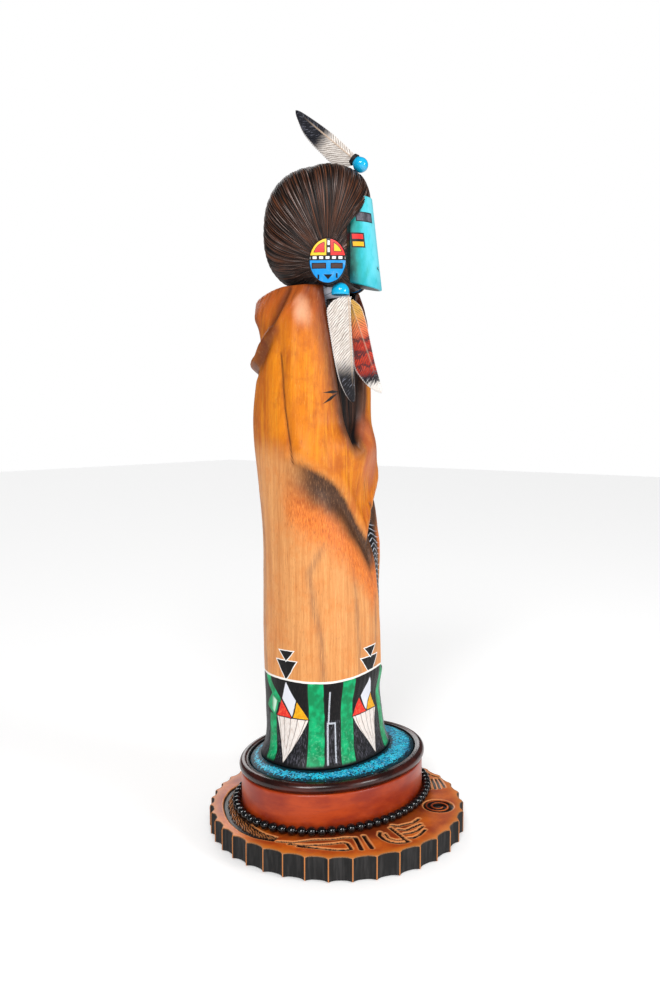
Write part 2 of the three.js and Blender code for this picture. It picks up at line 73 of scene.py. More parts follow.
def read_at(table, z):
    """Columns of a table of heights, read at z along a smooth curve through its rows."""
    table = np.array(table, float)
    heights, values = table[:, 0], table[:, 1:]
    i = np.clip(np.searchsorted(heights, z, side="right") - 1, 0, len(heights) - 2)
    before, after = np.maximum(i - 1, 0), np.minimum(i + 2, len(heights) - 1)
    step = heights[i + 1] - heights[i]
    t = np.clip((z - heights[i]) / step, 0, 1)[..., None]
    first = (values[i + 1] - values[before]) / (heights[i + 1] - heights[before])[..., None] * step[..., None]
    second = (values[after] - values[i]) / (heights[after] - heights[i])[..., None] * step[..., None]
    a = (1 + 2 * t) * (1 - t) ** 2 * values[i] + t * (1 - t) ** 2 * first
    return a + t * t * (3 - 2 * t) * values[i + 1] + t * t * (t - 1) * second


def line_distance(points, line):
    """Distance of each point from a line through the given corners."""
    near = np.full(len(points), 1e3)
    for one, two in zip(line, line[1:]):
        along = two - one
        t = np.clip((points - one) @ along / (along @ along), 0, 1)
        near = np.minimum(near, np.linalg.norm(points - one - t[:, None] * along, axis=1))
    return near


# ---------------------------------------------------------------- making pieces
def deselect():
    bpy.ops.object.select_all(action="DESELECT")


def wrapped_grid(name, columns, rows, place, matrix=None):
    """A grid primitive closed over a form. place(u, v) gives points in mm, a UV pair and named values."""
    deselect()
    bpy.ops.mesh.primitive_grid_add(x_subdivisions=columns, y_subdivisions=rows, size=1)
    piece = bpy.context.object
    piece.name = name
    mesh = piece.data
    flat = np.empty(len(mesh.vertices) * 3)
    mesh.vertices.foreach_get("co", flat)
    u, v = flat.reshape(-1, 3)[:, 0] + 0.5, flat.reshape(-1, 3)[:, 1] + 0.5
    points, uv, values = place(u, v)
    mesh.vertices.foreach_set("co", (points * MM).ravel())
    corner = np.empty(len(mesh.loops), int)
    mesh.loops.foreach_get("vertex_index", corner)
    mesh.uv_layers[0].data.foreach_set("uv", uv[corner].ravel())
    for key, value in values.items():
        if value.ndim == 2:
            mesh.uv_layers.new(name=key).data.foreach_set("uv", value[corner].ravel())
        else:
            mesh.attributes.new(key, "FLOAT", "POINT").data.foreach_set("value", value)
    bpy.ops.object.mode_set(mode="EDIT")
    bpy.ops.mesh.select_all(action="SELECT")
    bpy.ops.mesh.remove_doubles(threshold=1e-6)
    bpy.ops.mesh.normals_make_consistent(inside=False)
    bpy.ops.object.mode_set(mode="OBJECT")
    bpy.ops.object.shade_smooth()
    if matrix:
        move_points(piece, matrix)
    return piece


def settle(piece, material, node):
    """Gives a piece its finish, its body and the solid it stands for."""
    piece.data.materials.clear()
    piece.data.materials.append(material)
    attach(piece, "root")
    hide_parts(node)
    return piece


def move_points(piece, matrix):
    """Puts a piece in its place by moving the points of its mesh."""
    piece.data.transform(matrix)
    piece.data.update()


# ---------------------------------------------------------------- camera, floor and lights
def make_camera():
    bpy.ops.object.camera_add(location=(-388.6 * MM, -298.9 * MM, 223.6 * MM))
    camera = bpy.context.object
    camera.name = "camera"
    camera.data.lens = 33.16
    camera.data.sensor_width = 36
    camera.data.clip_start = 0.01
    pitch, heading = math.radians(4.95), math.radians(38)
    level = math.cos(pitch)
    look = Vector((math.cos(heading) * level, math.sin(heading) * level, -math.sin(pitch)))
    camera.rotation_mode = "QUATERNION"
    camera.rotation_quaternion = look.to_track_quat("-Z", "Y")
    bpy.context.scene.camera = camera


def plain_material(name, color, roughness):
    material = bpy.data.materials.new(name)
    material.use_nodes = True
    shader = material.node_tree.nodes["Principled BSDF"]
    shader.inputs["Base Color"].default_value = (*color, 1)
    shader.inputs["Roughness"].default_value = roughness
    return material


def make_stage():
    deselect()
    bpy.ops.mesh.primitive_plane_add(size=6, location=(0, 0, -0.0004))
    floor = bpy.context.object
    floor.name = "floor"
    paper = plain_material("floor paper", (0.9, 0.9, 0.9), 0.9)
    shader = paper.node_tree.nodes["Principled BSDF"]
    shader.inputs["Emission Color"].default_value = (1, 1, 1, 1)
    shader.inputs["Emission Strength"].default_value = 0.16
    floor.data.materials.append(paper)
    world = bpy.data.worlds.new("studio")
    bpy.context.scene.world = world
    world.use_nodes = True
    tree = world.node_tree
    background = tree.nodes["Background"]
    background.inputs["Color"].default_value = (1, 1, 1, 1)
    # The walls are seen white, light the figure more gently than they look, and hardly show in its gloss.
    path = tree.nodes.new("ShaderNodeLightPath").outputs
    strength = None
    for seen, amount in (("Is Camera Ray", 1), ("Is Glossy Ray", 0.1)):
        step = tree.nodes.new("ShaderNodeMapRange")
        step.inputs["To Min"].default_value = 0.46
        step.inputs["To Max"].default_value = amount
        tree.links.new(path[seen], step.inputs["Value"])
        if strength:
            tree.links.new(strength, step.inputs["To Min"])
        strength = step.outputs[0]
    tree.links.new(strength, background.inputs["Strength"])
    bpy.context.scene.view_settings.view_transform = "Standard"


def make_lamp(name, kind, place, power, size):
    """A lamp that looks at the middle of the figure. Size is a width, or an angle for a sun."""
    bpy.ops.object.light_add(type=kind, location=place)
    lamp = bpy.context.object
    lamp.name = name
    lamp.data.energy = power
    if kind == "SUN":
        lamp.data.angle = math.radians(size)
    else:
        lamp.data.size = size
    aim = Vector((0, 0, 0.2)) - Vector(place)
    lamp.rotation_mode = "QUATERNION"
    lamp.rotation_quaternion = aim.to_track_quat("-Z", "Y")


# ---------------------------------------------------------------- the robe
FIGURE = (2.5, 9.5)
FOOT, NECK, CHEST, COLLAR = 40, 262, 279, 291.5
LIP_WIDTH, LIP_RISE = 3, 1.3
HEM_TOP = 102
# Each ring of the robe: height, half width, reach to the front, reach to the back.
ROBE = [
    [40, 39.9, 32, 31], [46, 37, 30, 29.6], [53, 35.4, 28.8, 29.2], [60, 34.4, 28, 30.4],
    [72, 33.5, 26.6, 31.8], [84, 33.4, 28.8, 32.8], [110, 33.5, 28.6, 33.5], [135, 33.7, 27.2, 33.1],
    [153, 34.1, 25.1, 32.7], [166, 34.4, 22.8, 33.4], [180, 34.6, 21.6, 35.4], [195, 34.8, 22.6, 37.8],
    [208, 35, 23.6, 40], [221, 35, 18.4, 40.9], [236, 34.8, 18, 39.2], [250, 34.4, 17.6, 36.2],
    [262, 33.4, 17, 34.6], [272, 31.4, 16, 38], [280, 29.2, 15, 42.8], [291.5, 24, 14.5, 44.6],
]
NEAR_EDGE = [[40, -31], [85, -30], [100, -29], [124, -27], [141, -24], [157, -25], [177, -26], [192, -6],
             [207, 14], [210, 17], [225.7, 25], [235.5, 31], [260, 43], [278, 50], [296, 57]]
FAR_EDGE = [[40, -66], [85, -66], [100, -66], [122, -64], [141, -58], [157, -48], [177, -31], [192, -14],
            [207, 4], [212, 0], [220, -23], [228, -31], [242, -34], [262, -44], [280, -62], [296, -76]]


def robe_oval(angle, z):
    """Distance of the robe's plain oval section from the body's axis."""
    half_width, front, back = np.moveaxis(read_at(ROBE, z), -1, 0)
    s, c = np.abs(np.sin(np.radians(angle))), np.cos(np.radians(angle))
    n = 2.2 - 0.35 * smooth(z, 186, 212) * smooth(c, -0.2, 0.4)
    share = (s / half_width) ** n + (np.abs(c) / np.where(c > 0, front, back)) ** n
    return share ** (-1 / n)


def cowl_ridge(side):
    return np.where(side < 127, 253 + 0.76 * (127 - side), 253 - 0.13 * (side - 127))


def cowl(angle, z):
    """The rolled hood that hangs over the shoulders and the back."""
    side = np.abs(angle)
    ridge = cowl_ridge(side)
    height = 1.1 + 3.6 * smooth(side, 92, 122)
    return height * bump(z, ridge, np.where(z > ridge, 5.5, 3.4)) * smooth(side, 70, 88)


def sweep_ridge(angle):
    reach = np.maximum(angle, -angle - 24)
    return 165 + 0.66 * reach - 0.0027 * reach**2


def sweep(angle, z):
    """The long fold that sweeps up from the open front, with the hollow under it."""
    line = sweep_ridge(angle)
    present = 1 - smooth(np.abs(angle), 66, 90)
    return present * (1.3 * bump(z, line + 5, 6) - 2.1 * bump(z, line - 6, 8))


def crease(angle, z):
    """The shallow crease down each side of the chest."""
    line = 83.5 + 0.25 * (z - 202)
    present = smooth(z, 196, 210) * (1 - smooth(z, 258, 272))
    return -1.4 * present * bump(np.abs(angle), line, 7)


def gather(angle, z):
    """The gathered roll of cloth below the open neck."""
    below = 207.4 - 0.36 * np.clip(angle, -60, 20) - z
    return 3 * bump(angle, -18, 30) * smooth(below, -3, 3.5) * bump(np.maximum(below, 0), 0, 17)


def robe_radius(angle, z):
    return robe_oval(angle, z) + cowl(angle, z) + sweep(angle, z) + crease(angle, z) + gather(angle, z)


def flow(angle, level):
    """How far a ring of the mesh is lifted, so that the rings run along the hood and the long fold."""
    side = np.abs(angle)
    to_cowl = np.clip(cowl_ridge(side) - 252, -8, 22) * smooth(side, 80, 98)
    to_sweep = (sweep_ridge(angle) - 173) * (1 - smooth(side, 84, 120))
    near_cowl = smooth(level, 226, 252) * (1 - smooth(level, 252, 286))
    return to_cowl * near_cowl + to_sweep * smooth(level, 112, 173) * (1 - smooth(level, 173, 234))


def edge_angle(edge, z):
    return read_at(edge, z)[..., 0]


def collar_top(angle):
    return COLLAR - 5.8 * smooth(np.abs(angle), 112, 178)


def around(angle, radius, z):
    """Points of the body at an angle from the front, a distance from its axis and a height."""
    a = np.radians(angle)
    return stack(FIGURE[0] - np.sin(a) * radius, FIGURE[1] - np.cos(a) * radius, z + 0 * a)


def robe_depth(z):
    """How deep the robe's open front is cut."""
    return 3.5 * smooth(z, 205, 214) + 1.6 * (1 - smooth(z, 174, 178)) * smooth(z, 83, 86)


def make_robe():
    """The robe from its foot over the collar's lip to the floor inside, with its open front."""
    outer, lip, wall, floor = 250, 4, 6, 4
    rows = 1 + outer + lip + wall + floor
    columns = (96, 48, 140)

    def place(u, v):
        row = row_of(v, rows)
        column = row_of(u, sum(columns))
        ring = FOOT + (COLLAR - FOOT) * ramp(row, 1, outer)

        def angle_at(z):
            """Columns crowd toward the two edges of the opening, which lie at other angles at each height."""
            near, far = edge_angle(NEAR_EDGE, z), edge_angle(FAR_EDGE, z)
            one = ramp(column, 0, columns[0])
            two = ramp(column, columns[0], columns[1])
            three = ramp(column, columns[0] + columns[1], columns[2])
            first = far - (far + 180) * (1 - one) ** 1.25
            second = far + (near - far) * (two - 0.09 * np.sin(2 * np.pi * two))
            third = near + (180 - near) * three ** 1.25
            angle = np.where(column <= columns[0], first, second)
            return np.where(column >= columns[0] + columns[1], third, angle), near, far

        # A first guess of the angle gives the lift, and the lifted height gives the open edges.
        level = ring
        for _ in range(3):
            angle, near, far = angle_at(level)
            level = ring + flow(angle, ring)
        level = np.clip(level, FOOT, COLLAR)
        angle, near, far = angle_at(level)
        top = collar_top(angle) - LIP_RISE
        z = np.minimum(level, NECK) + np.maximum(0, level - NECK) / (COLLAR - NECK) * (top - NECK)
        radius = robe_radius(angle, level)
        turn = ramp(row, 1 + outer, lip) * np.pi
        inset = LIP_WIDTH / 2 * (1 - np.cos(turn))
        down = ramp(row, 1 + outer + lip, wall)
        inward = ramp(row, 1 + outer + lip + wall, floor)
        z = z + LIP_RISE * np.sin(turn) - 9.2 * down
        reach = np.where(row == 0, 0, 1 - inward)
        shell = (radius - inset) * reach

        from_near = np.radians(near - angle) * radius
        from_far = np.radians(angle - far) * radius
        inside = smooth(from_near, -0.35, 0.55) * smooth(from_far, -0.35, 0.55)
        inside = inside * (row > 0)
        depth = robe_depth(level)
        lip_roll = (bump(from_near, -1.9, 1.7) + bump(from_far, -1.9, 1.7)) * 0.16 * depth * (turn == 0)
        shell = shell + lip_roll * (1 - inside) - inside * depth * np.clip(1 - inset / LIP_WIDTH, 0, 1)

        # Inside the open neck the wall of the collar is gone: its rings lie flat on the chest.
        above = ramp(level, CHEST, COLLAR - CHEST)
        chest = (robe_radius(angle, np.minimum(level, CHEST)) - 3.5) * (1 - 0.1 * above - 0.02 * down) * reach
        chest_z = np.minimum(level, CHEST) + 1.4 * above + 0.2 * down
        open_here = inside * smooth(level, 268, CHEST)
        shell = shell * (1 - open_here) + chest * open_here
        z = z * (1 - open_here) + chest_z * open_here

        # The shoulder swells beside the hollow that runs up under the cowl.
        swell = 1.6 * bump(np.abs(angle), 80, 13) * bump(level, 276, 10)
        folds = swell - 1.3 * line_mark(angle, level, HOLLOWS, 3)
        folds = folds - 0.5 * line_mark(angle, level, CREASES, 1.2)
        shell = shell + folds * (turn == 0) * (reach > 0.99) * (1 - inside)

        # Soft tool marks left by the rasp and the knife.
        marks = 0.07 * np.sin(angle * 0.9 + 0.06 * z) * np.sin(z * 0.21 + angle * 0.05)
        shell = shell + marks * (reach > 0.99) * (1 - inside)
        values = {
            "opened": inside * np.clip(depth / 1.6, 0, 1),
            "hollow": turn / np.pi * (1 - inside),
            "gap": np.clip(-np.minimum(from_near, from_far), -5, 30),
            "below": np.clip(z - sweep_ridge(angle), -90, 40), "band": band_place(angle, z),
            "veins": line_mark(angle, z, VEINS, 2), "crease": line_mark(angle, z, CREASES, 0.55),
            "hollows": line_mark(angle, z, HOLLOWS, 4.2),
        }
        return around(angle, shell, z), stack(angle / 360 + 0.5, z / 300), values

    return wrapped_grid("robe", sum(columns), rows, place)


def paint_hem(piece, material):
    """Gives the lower faces of the robe the painted band."""
    piece.data.materials.append(material)
    for face in piece.data.polygons:
        if face.center.z < HEM_TOP * MM:
            face.material_index = 1


# Lines that the stain follows, as [angle from the front, height]: they run the same on both sides.
VEINS = [
    [[54, 156], [61, 150], [67, 142], [65, 133], [62, 123], [58.5, 115], [55.5, 106], [54, 86]],
    [[21, 156], [18.5, 139.5], [17.5, 127.5], [17, 116], [15.5, 105.5], [13, 86]],
    [[128, 176], [124, 150], [126, 120], [123, 86]],
]
CREASES = [[[97, 256], [94.5, 248], [93, 238.5], [90, 225], [86.5, 213.5], [82, 199]]]
HOLLOWS = [[[103, 289], [105, 279], [107, 269], [115, 259], [124, 252], [140, 247], [180, 243]]]


def line_mark(angle, z, lines, width):
    """1 along the given lines of the robe, falling off over a width in mm."""
    points = stack(np.abs(angle) * 0.62, z)
    near = np.full(len(points), 1e3)
    for line in lines:
        near = np.minimum(near, line_distance(points, [np.array([a * 0.62, h]) for a, h in line]))
    return np.exp(-((near / width) ** 2))


# The angles at which a painted front stands, and how the hem pattern is carried round between them.
FRONTS = [-94, -4, 91, 176, 266]


def band_place(angle, z):
    turn = np.where(angle < FRONTS[0], angle + 360, angle)
    share = np.interp(turn, FRONTS, np.arange(len(FRONTS)) - 1)
    return stack(share / 4 + 0.5, z / 300)


# ---------------------------------------------------------------- the head
HEAD = {"back": 5.7, "z": 322, "turn": 22, "radius": 29, "up": 33.4, "down": 31.3, "face": 21.5}
EAR = Vector((26.4, -13.4, -20))


def head_matrix():
    place = Matrix.Translation((FIGURE[0], FIGURE[1] + HEAD["back"], HEAD["z"]))
    turn = Matrix.Rotation(math.radians(HEAD["turn"]), 4, "Z")
    return Matrix.Scale(MM, 4) @ place @ turn @ Matrix.Scale(1 / MM, 4)


def hair_radius(d):
    """Distance of the hair from the middle of the head along a direction."""
    flat = np.hypot(d[:, 0], d[:, 1])
    forward = smooth(-d[:, 1] / np.maximum(flat, 1e-6), -0.1, 0.8)
    up = d[:, 2] > 0
    n = np.where(up, 2.3 + 1.7 * forward, 2.5 + 3.5 * forward)
    share = (flat / HEAD["radius"]) ** n + (np.abs(d[:, 2]) / np.where(up, HEAD["up"], HEAD["down"])) ** n
    return share ** (-1 / n)


def make_hair():
    locks, per_lock, rows = 190, 4, 124
    columns = locks * per_lock
    fringe = 30
    ear = np.array(EAR.normalized())

    def place(u, v):
        column = row_of(u, columns) % columns
        lean = np.cos(np.pi * v)
        span = np.sqrt(np.maximum(0, 1 - lean**2))
        # Angle of a lock in the middle plane: 0 is the forehead, 90 the crown, 180 the nape.
        lock = column / columns * 360
        bend = 22 * lean**2 * smooth(lock, -5, 15) * (1 - smooth(lock, 30, 95))
        turn = np.radians(lock + bend)
        side = np.abs(lean)
        d = stack(lean * ear[0], side * ear[1] - span * np.cos(turn), side * ear[2] + span * np.sin(turn))
        d /= np.linalg.norm(d, axis=1)[:, None]
        r = hair_radius(d)
        inward = (fringe - lock) % 360
        past = np.where(inward > 180, 360 - inward, 0)
        under = (inward > 0.01) & (inward <= 180)
        roll = 3.2 * (1 - quarter(past * 0.5 / 3.2)) * (lock >= fringe) * (lock < 120)
        groove = -0.32 * (column % per_lock == 0) * smooth(span, 0.25, 0.5)
        # Each lock lies a little higher or lower than the next, without any order.
        seed = np.sin(column // per_lock * 12.9898) * 43758.5453
        lift = (seed - np.floor(seed) - 0.5) * 0.2 * smooth(span, 0.3, 0.6)
        wave = 0.1 * np.sin(lock * 0.9) * smooth(span, 0.3, 0.7)
        p = d * (r - roll + groove + lift + wave)[:, None]
        face = under & (-p[:, 1] > HEAD["face"])
        p[:, 1] = np.where(face, -HEAD["face"], p[:, 1])
        values = {"face_plane": face.astype(float), "groove": (column % per_lock == 0).astype(float)}
        return p, stack(lock / 360, v), values

    return wrapped_grid("hair", columns, rows, place, head_matrix())


MASK = {"radius": 12.5, "out": 22.1, "bottom": 289.9, "top": 338, "lean": 0.117, "rise": 0.225}


def make_mask():
    columns, rows, cap = 160, 120, 10

    def place(u, v):
        row = row_of(v, rows + 2 * cap)
        angle = (u - 0.5) * 360
        reach = np.clip(np.minimum(row, rows + 2 * cap - row) / cap, 0, 1)
        t = ramp(row, cap, rows)
        corner = 0.6
        ease = np.minimum(t * (MASK["top"] - MASK["bottom"]), 3)
        r = np.maximum(MASK["radius"] * reach - corner * (1 - quarter(ease / corner)), 0)
        x, y = np.sin(np.radians(angle)) * r, -np.cos(np.radians(angle)) * r - MASK["out"]
        z = MASK["bottom"] + (MASK["top"] - MASK["bottom"]) * t
        z = z + MASK["rise"] * np.clip(MASK["radius"] + MASK["out"] + y, 0, 16) * (1 - t)
        mouth = bump(angle, 0, 9) * bump(z, 301.3, 0.9)
        shrink = 1 - 0.1 * mouth * (reach > 0.99)
        x, y = x * shrink, (y + MASK["out"]) * shrink - MASK["out"] + MASK["lean"] * (z - 297)
        p = stack(x, y, z - HEAD["z"])
        return p, stack(angle / 360 + 0.5, z / 400), {"under": 1 - reach}

    return wrapped_grid("mask", columns, rows + 2 * cap, place, head_matrix())


def ear_matrix(side):
    swing = math.radians(14)
    normal = Vector((side * math.cos(swing), -math.sin(swing), 0))
    across = Vector((0, 0, 1)).cross(normal)
    place = Matrix.Translation(Vector((side * EAR.x, EAR.y, EAR.z + (1.8 if side > 0 else 0))) * MM)
    turn = Matrix((across, (0, 0, 1), normal)).transposed().to_4x4()
    return head_matrix() @ place @ turn


def make_ear_disc(name, side):
    columns, back_rows, edge_rows, face_rows = 96, 6, 8, 16
    first_face = back_rows + edge_rows
    rows = first_face + face_rows

    def place(u, v):
        row = row_of(v, rows)
        angle = u * 2 * np.pi
        edge = ramp(row, back_rows, edge_rows)
        inward = ramp(row, first_face, face_rows)
        reach = np.where(row < back_rows, ramp(row, 0, back_rows), 1 - inward)
        shrink = 0.9 * (1 - np.cos(edge * np.pi / 2))
        rise = 1.2 * smooth(edge, 0, 0.2) + 1.2 * np.sin(edge * np.pi / 2)
        rise = rise * (row >= back_rows) + 0.5 * (1 - (1 - inward) ** 2)
        x = np.cos(angle) * (9.6 - shrink) * reach
        y = np.sin(angle) * (11.6 - shrink) * reach
        return stack(x, y, rise), stack(x / 23.05 + 0.5, y / 23.6 + 0.5), {}

    return wrapped_grid(name, columns, rows, place, ear_matrix(side))


def make_neck():
    columns, rows, cap = 96, 40, 3
    low, height = 268, 26

    def place(u, v):
        row = row_of(v, rows)
        angle = (u - 0.5) * 360
        reach = np.clip(np.minimum(row, rows - row) / cap, 0, 1)
        z = low + height * ramp(row, cap, rows - 2 * cap)
        fold = 0.5 * np.sin(0.8 * (z - low) + 0.035 * angle) + 0.4 * np.sin(0.05 * angle * 3)
        r = (14.6 - 0.04 * (z - low) + fold) * reach
        p = around(angle, r, z)
        p[:, 1] += 2
        return p, stack(angle / 360 + 0.5, z / 300), {}

    return wrapped_grid("neck_scarf", columns, rows, place)


def make_hank():
    """The lock of hair that lies in the open front of the robe."""
    columns, rows = 120, 110

    def place(u, v):
        turn = u * 2 * np.pi
        across = np.cos(turn)
        out = np.sin(turn)
        z = 208.5 + (286 - 208.5) * v
        near, far = edge_angle(NEAR_EDGE, z) - 1.5, edge_angle(FAR_EDGE, z) + 2
        tip = smooth(z, 207, 222)
        middle = 14.5 * (1 - tip) + (near + far) / 2 * tip
        half = (near - far) / 2 * (0.02 + 0.98 * smooth(z, 206, 224) ** 0.8)
        end = quarter(np.minimum(v, 1 - v) / 0.03)
        angle = middle + half * across * end
        strands = 0.2 * np.abs(np.sin(across * 15)) * np.clip(out, 0, 1)
        lift = np.where(out > 0, 2.1 * out ** 0.8 - strands, 1.4 * out)
        r = robe_radius(angle, np.minimum(z, CHEST)) - 3.4 + lift * end - 0.1 * np.maximum(0, z - CHEST)
        return around(angle, r, z), stack(across * 0.5 + 0.5, z / 300), {}

    return wrapped_grid("front_hair", columns, rows, place)


# ---------------------------------------------------------------- feathers, beads and bindings
# Outlines of the blades: share of the length, then the half width on each side of the quill.
WHITE_BLADE = [
    [0, 1.6, 4.2], [0.03, 1.2, 8], [0.1, 0.9, 11.2], [0.2, 0.8, 11.2], [0.31, 0.8, 10.6], [0.58, 0.9, 8.9],
    [0.76, 1, 7.2], [0.88, 1, 5], [0.95, 0.9, 3], [0.985, 0.6, 1.5], [1, 0.1, 0.1],
]
RED_BLADE = [
    [0, 1.6, 1], [0.09, 4.2, 2.6], [0.2, 4.5, 3.8], [0.34, 4, 5.3], [0.5, 3, 7.2], [0.66, 2, 9.2],
    [0.77, 1.6, 7.9], [0.89, 1.3, 5.3], [0.96, 1.1, 2.6], [1, 0.1, 0.1],
]
CROWN_BLADE = [
    [0, 3, 1.6], [0.04, 5.6, 2], [0.1, 7.6, 2.3], [0.22, 9, 2.7], [0.4, 8.6, 3], [0.57, 8, 2.8],
    [0.75, 6.4, 2.2], [0.91, 3, 1.4], [0.97, 1.4, 0.8], [1, 0.1, 0.1],
]


def make_feather(name, root, tip, look, blade):
    """A carved feather from root to tip with its face toward look."""
    root, tip, look = Vector(root), Vector(tip), Vector(look)
    length = (tip - root).length
    along = (tip - root).normalized()
    across = along.cross(look).normalized()
    face = across.cross(along)
    columns, rows, thick = 96, 150, 1.3

    def place(u, v):
        turn = u * 2 * np.pi
        side, out = np.cos(turn), np.sin(turn)
        t = v + 0.5 / rows * np.sin(np.pi * v)
        wide_left, wide_right = read_at(blade, t)[..., 0], read_at(blade, t)[..., 1]
        saw = 1 + 0.025 * np.sin(t * length * 5.2) * smooth(np.abs(side), 0.8, 1)
        wide_left, wide_right = np.maximum(wide_left, 0.05) * saw, np.maximum(wide_right, 0.05) * saw
        x = np.where(side > 0, side * wide_right, side * wide_left)
        barbs = 0.09 * np.sin((t * length + np.abs(x) * 0.9) * 5.2) * np.clip(out, 0, 1) * (np.abs(x) > 0.6)
        quill = 0.45 * bump(x, 0, 0.45) * np.sign(out)
        body = thick / 2 * np.sign(out) * np.sqrt(np.abs(out))
        body = body * (0.35 + 0.65 * np.sqrt(np.clip(1 - side**2, 0, 1)))
        z = body * np.clip(np.minimum(t, 1 - t) * 25, 0, 1) ** 0.5 + quill * (1 - t) * np.abs(out) + barbs
        z = z - 0.006 * x * x
        p = stack(x, t * length, z)
        uv = stack(x / 20 + 0.5, t * length / 60)
        return p, uv, {"reach": t, "rim": np.abs(side)}

    turn = Matrix((across, along, face)).transposed().to_4x4()
    return wrapped_grid(name, columns, rows, place, Matrix.Translation(root * MM) @ turn)


def make_binding(length, radius):
    """Thread wound round the root of a feather, along +Z from its lower end."""
    rows, cap = 40, 4

    def place(u, v):
        row = row_of(v, rows)
        angle = u * 2 * np.pi
        run = ramp(row, cap, rows - 2 * cap)
        reach = np.clip(np.minimum(row, rows - row) / cap, 0, 1)
        r = (radius - 0.5 * run + 0.16 * np.abs(np.sin(run * np.pi * 5))) * reach
        return stack(np.cos(angle) * r * 0.75, np.sin(angle) * r, run * length), stack(u, v), {}

    return wrapped_grid("crown_binding", 40, rows, place)


def make_bead(name, radius, height):
    """A round bead with one flat end, standing on the flat end."""
    flat_rows, round_rows, below = 6, 24, 0.16
    rows = flat_rows + round_rows

    def place(u, v):
        row = row_of(v, rows)
        angle = u * 2 * np.pi
        turn = (ramp(row, flat_rows, round_rows) * (0.5 + below) - below) * np.pi
        reach = ramp(row, 0, flat_rows)
        r = np.where(row < flat_rows, reach * np.cos(-below * np.pi), np.cos(turn)) * radius
        z = np.where(row < flat_rows, 0, height - radius + radius * np.sin(turn))
        z = np.maximum(z, 0)
        return stack(np.cos(angle) * r, np.sin(angle) * r, z), stack(u, v), {}

    return wrapped_grid(name, 48, rows, place)


# ---------------------------------------------------------------- the plinth and the base
PLINTH = {"x": 5, "y": 6, "turn": -4, "long": 56.2, "short": 45.2}


def plinth_matrix():
    turn = Matrix.Rotation(math.radians(PLINTH["turn"]), 4, "Z")
    return Matrix.Translation((PLINTH["x"] * MM, PLINTH["y"] * MM, 0)) @ turn


def make_oval(name, rings):
    """A closed oval body through rings given as how far outside the drum, and height."""
    rings = np.array(rings, float)

    def place(u, v):
        row = row_of(v, len(rings) + 1)
        angle = u * 2 * np.pi
        ring = rings[np.clip(row - 1, 0, len(rings) - 1)]
        reach = np.where((row == 0) | (row == len(rings) + 1), 0, 1)
        x = np.cos(angle) * (PLINTH["long"] + ring[:, 0]) * reach
        y = np.sin(angle) * (PLINTH["short"] + ring[:, 0]) * reach
        out, z = ring[:, 0].copy(), ring[:, 1].copy()
        return stack(x, y, z), stack(u, z / 50), {"out": out}

    return wrapped_grid(name, 240, len(rings) + 1, place, plinth_matrix())


def drum_rings():
    rings = [[-8, 12.3], [-1.2, 12.3], [-0.4, 12.45], [0, 12.9]]
    rings += [[0, z] for z in np.linspace(13.5, 31.6, 24)]
    return rings + [[-0.25, 32.2], [-0.8, 32.5], [-8, 32.5]]


def rim_rings():
    rings = [[-9, 32.8], [-1, 32.8]]
    for t in np.radians(np.linspace(-60, 125, 22)):
        rings.append([1.2 - 2.5 + 2.5 * math.cos(t), 32.8 + 5.6 * (0.47 + 0.5 * math.sin(t))])
    rings += [[-3.6, 38], [-4, 37.7], [-4.25, 37], [-4.4, 36], [-4.5, 35.4], [-9, 35.4]]
    return rings


def ground_rings():
    rings = [[-9, 35.7], [-4.85, 35.7], [-4.75, 36.6], [-4.8, 37.2], [-5, 37.45]]
    for t in np.linspace(0.05, 1, 22):
        rings.append([-4.9 - 11 * t, 37.45 + 2.25 * math.sin(t * math.pi / 2)])
    rings += [[-20, 39.7], [-30, 39.7]]
    return rings


def mark_foot(piece):
    """Notes on the ground how far each point lies outside the foot of the robe, in mm."""
    mesh = piece.data
    points = np.empty(len(mesh.vertices) * 3)
    mesh.vertices.foreach_get("co", points)
    away = points.reshape(-1, 3)[:, :2] / MM - np.array(FIGURE)
    angle = np.degrees(np.arctan2(-away[:, 0], -away[:, 1]))
    gap = np.hypot(away[:, 0], away[:, 1]) - robe_radius(angle, np.full(len(angle), FOOT))
    mesh.attributes.new("foot", "FLOAT", "POINT").data.foreach_set("value", np.clip(gap, -5, 30))
    return piece


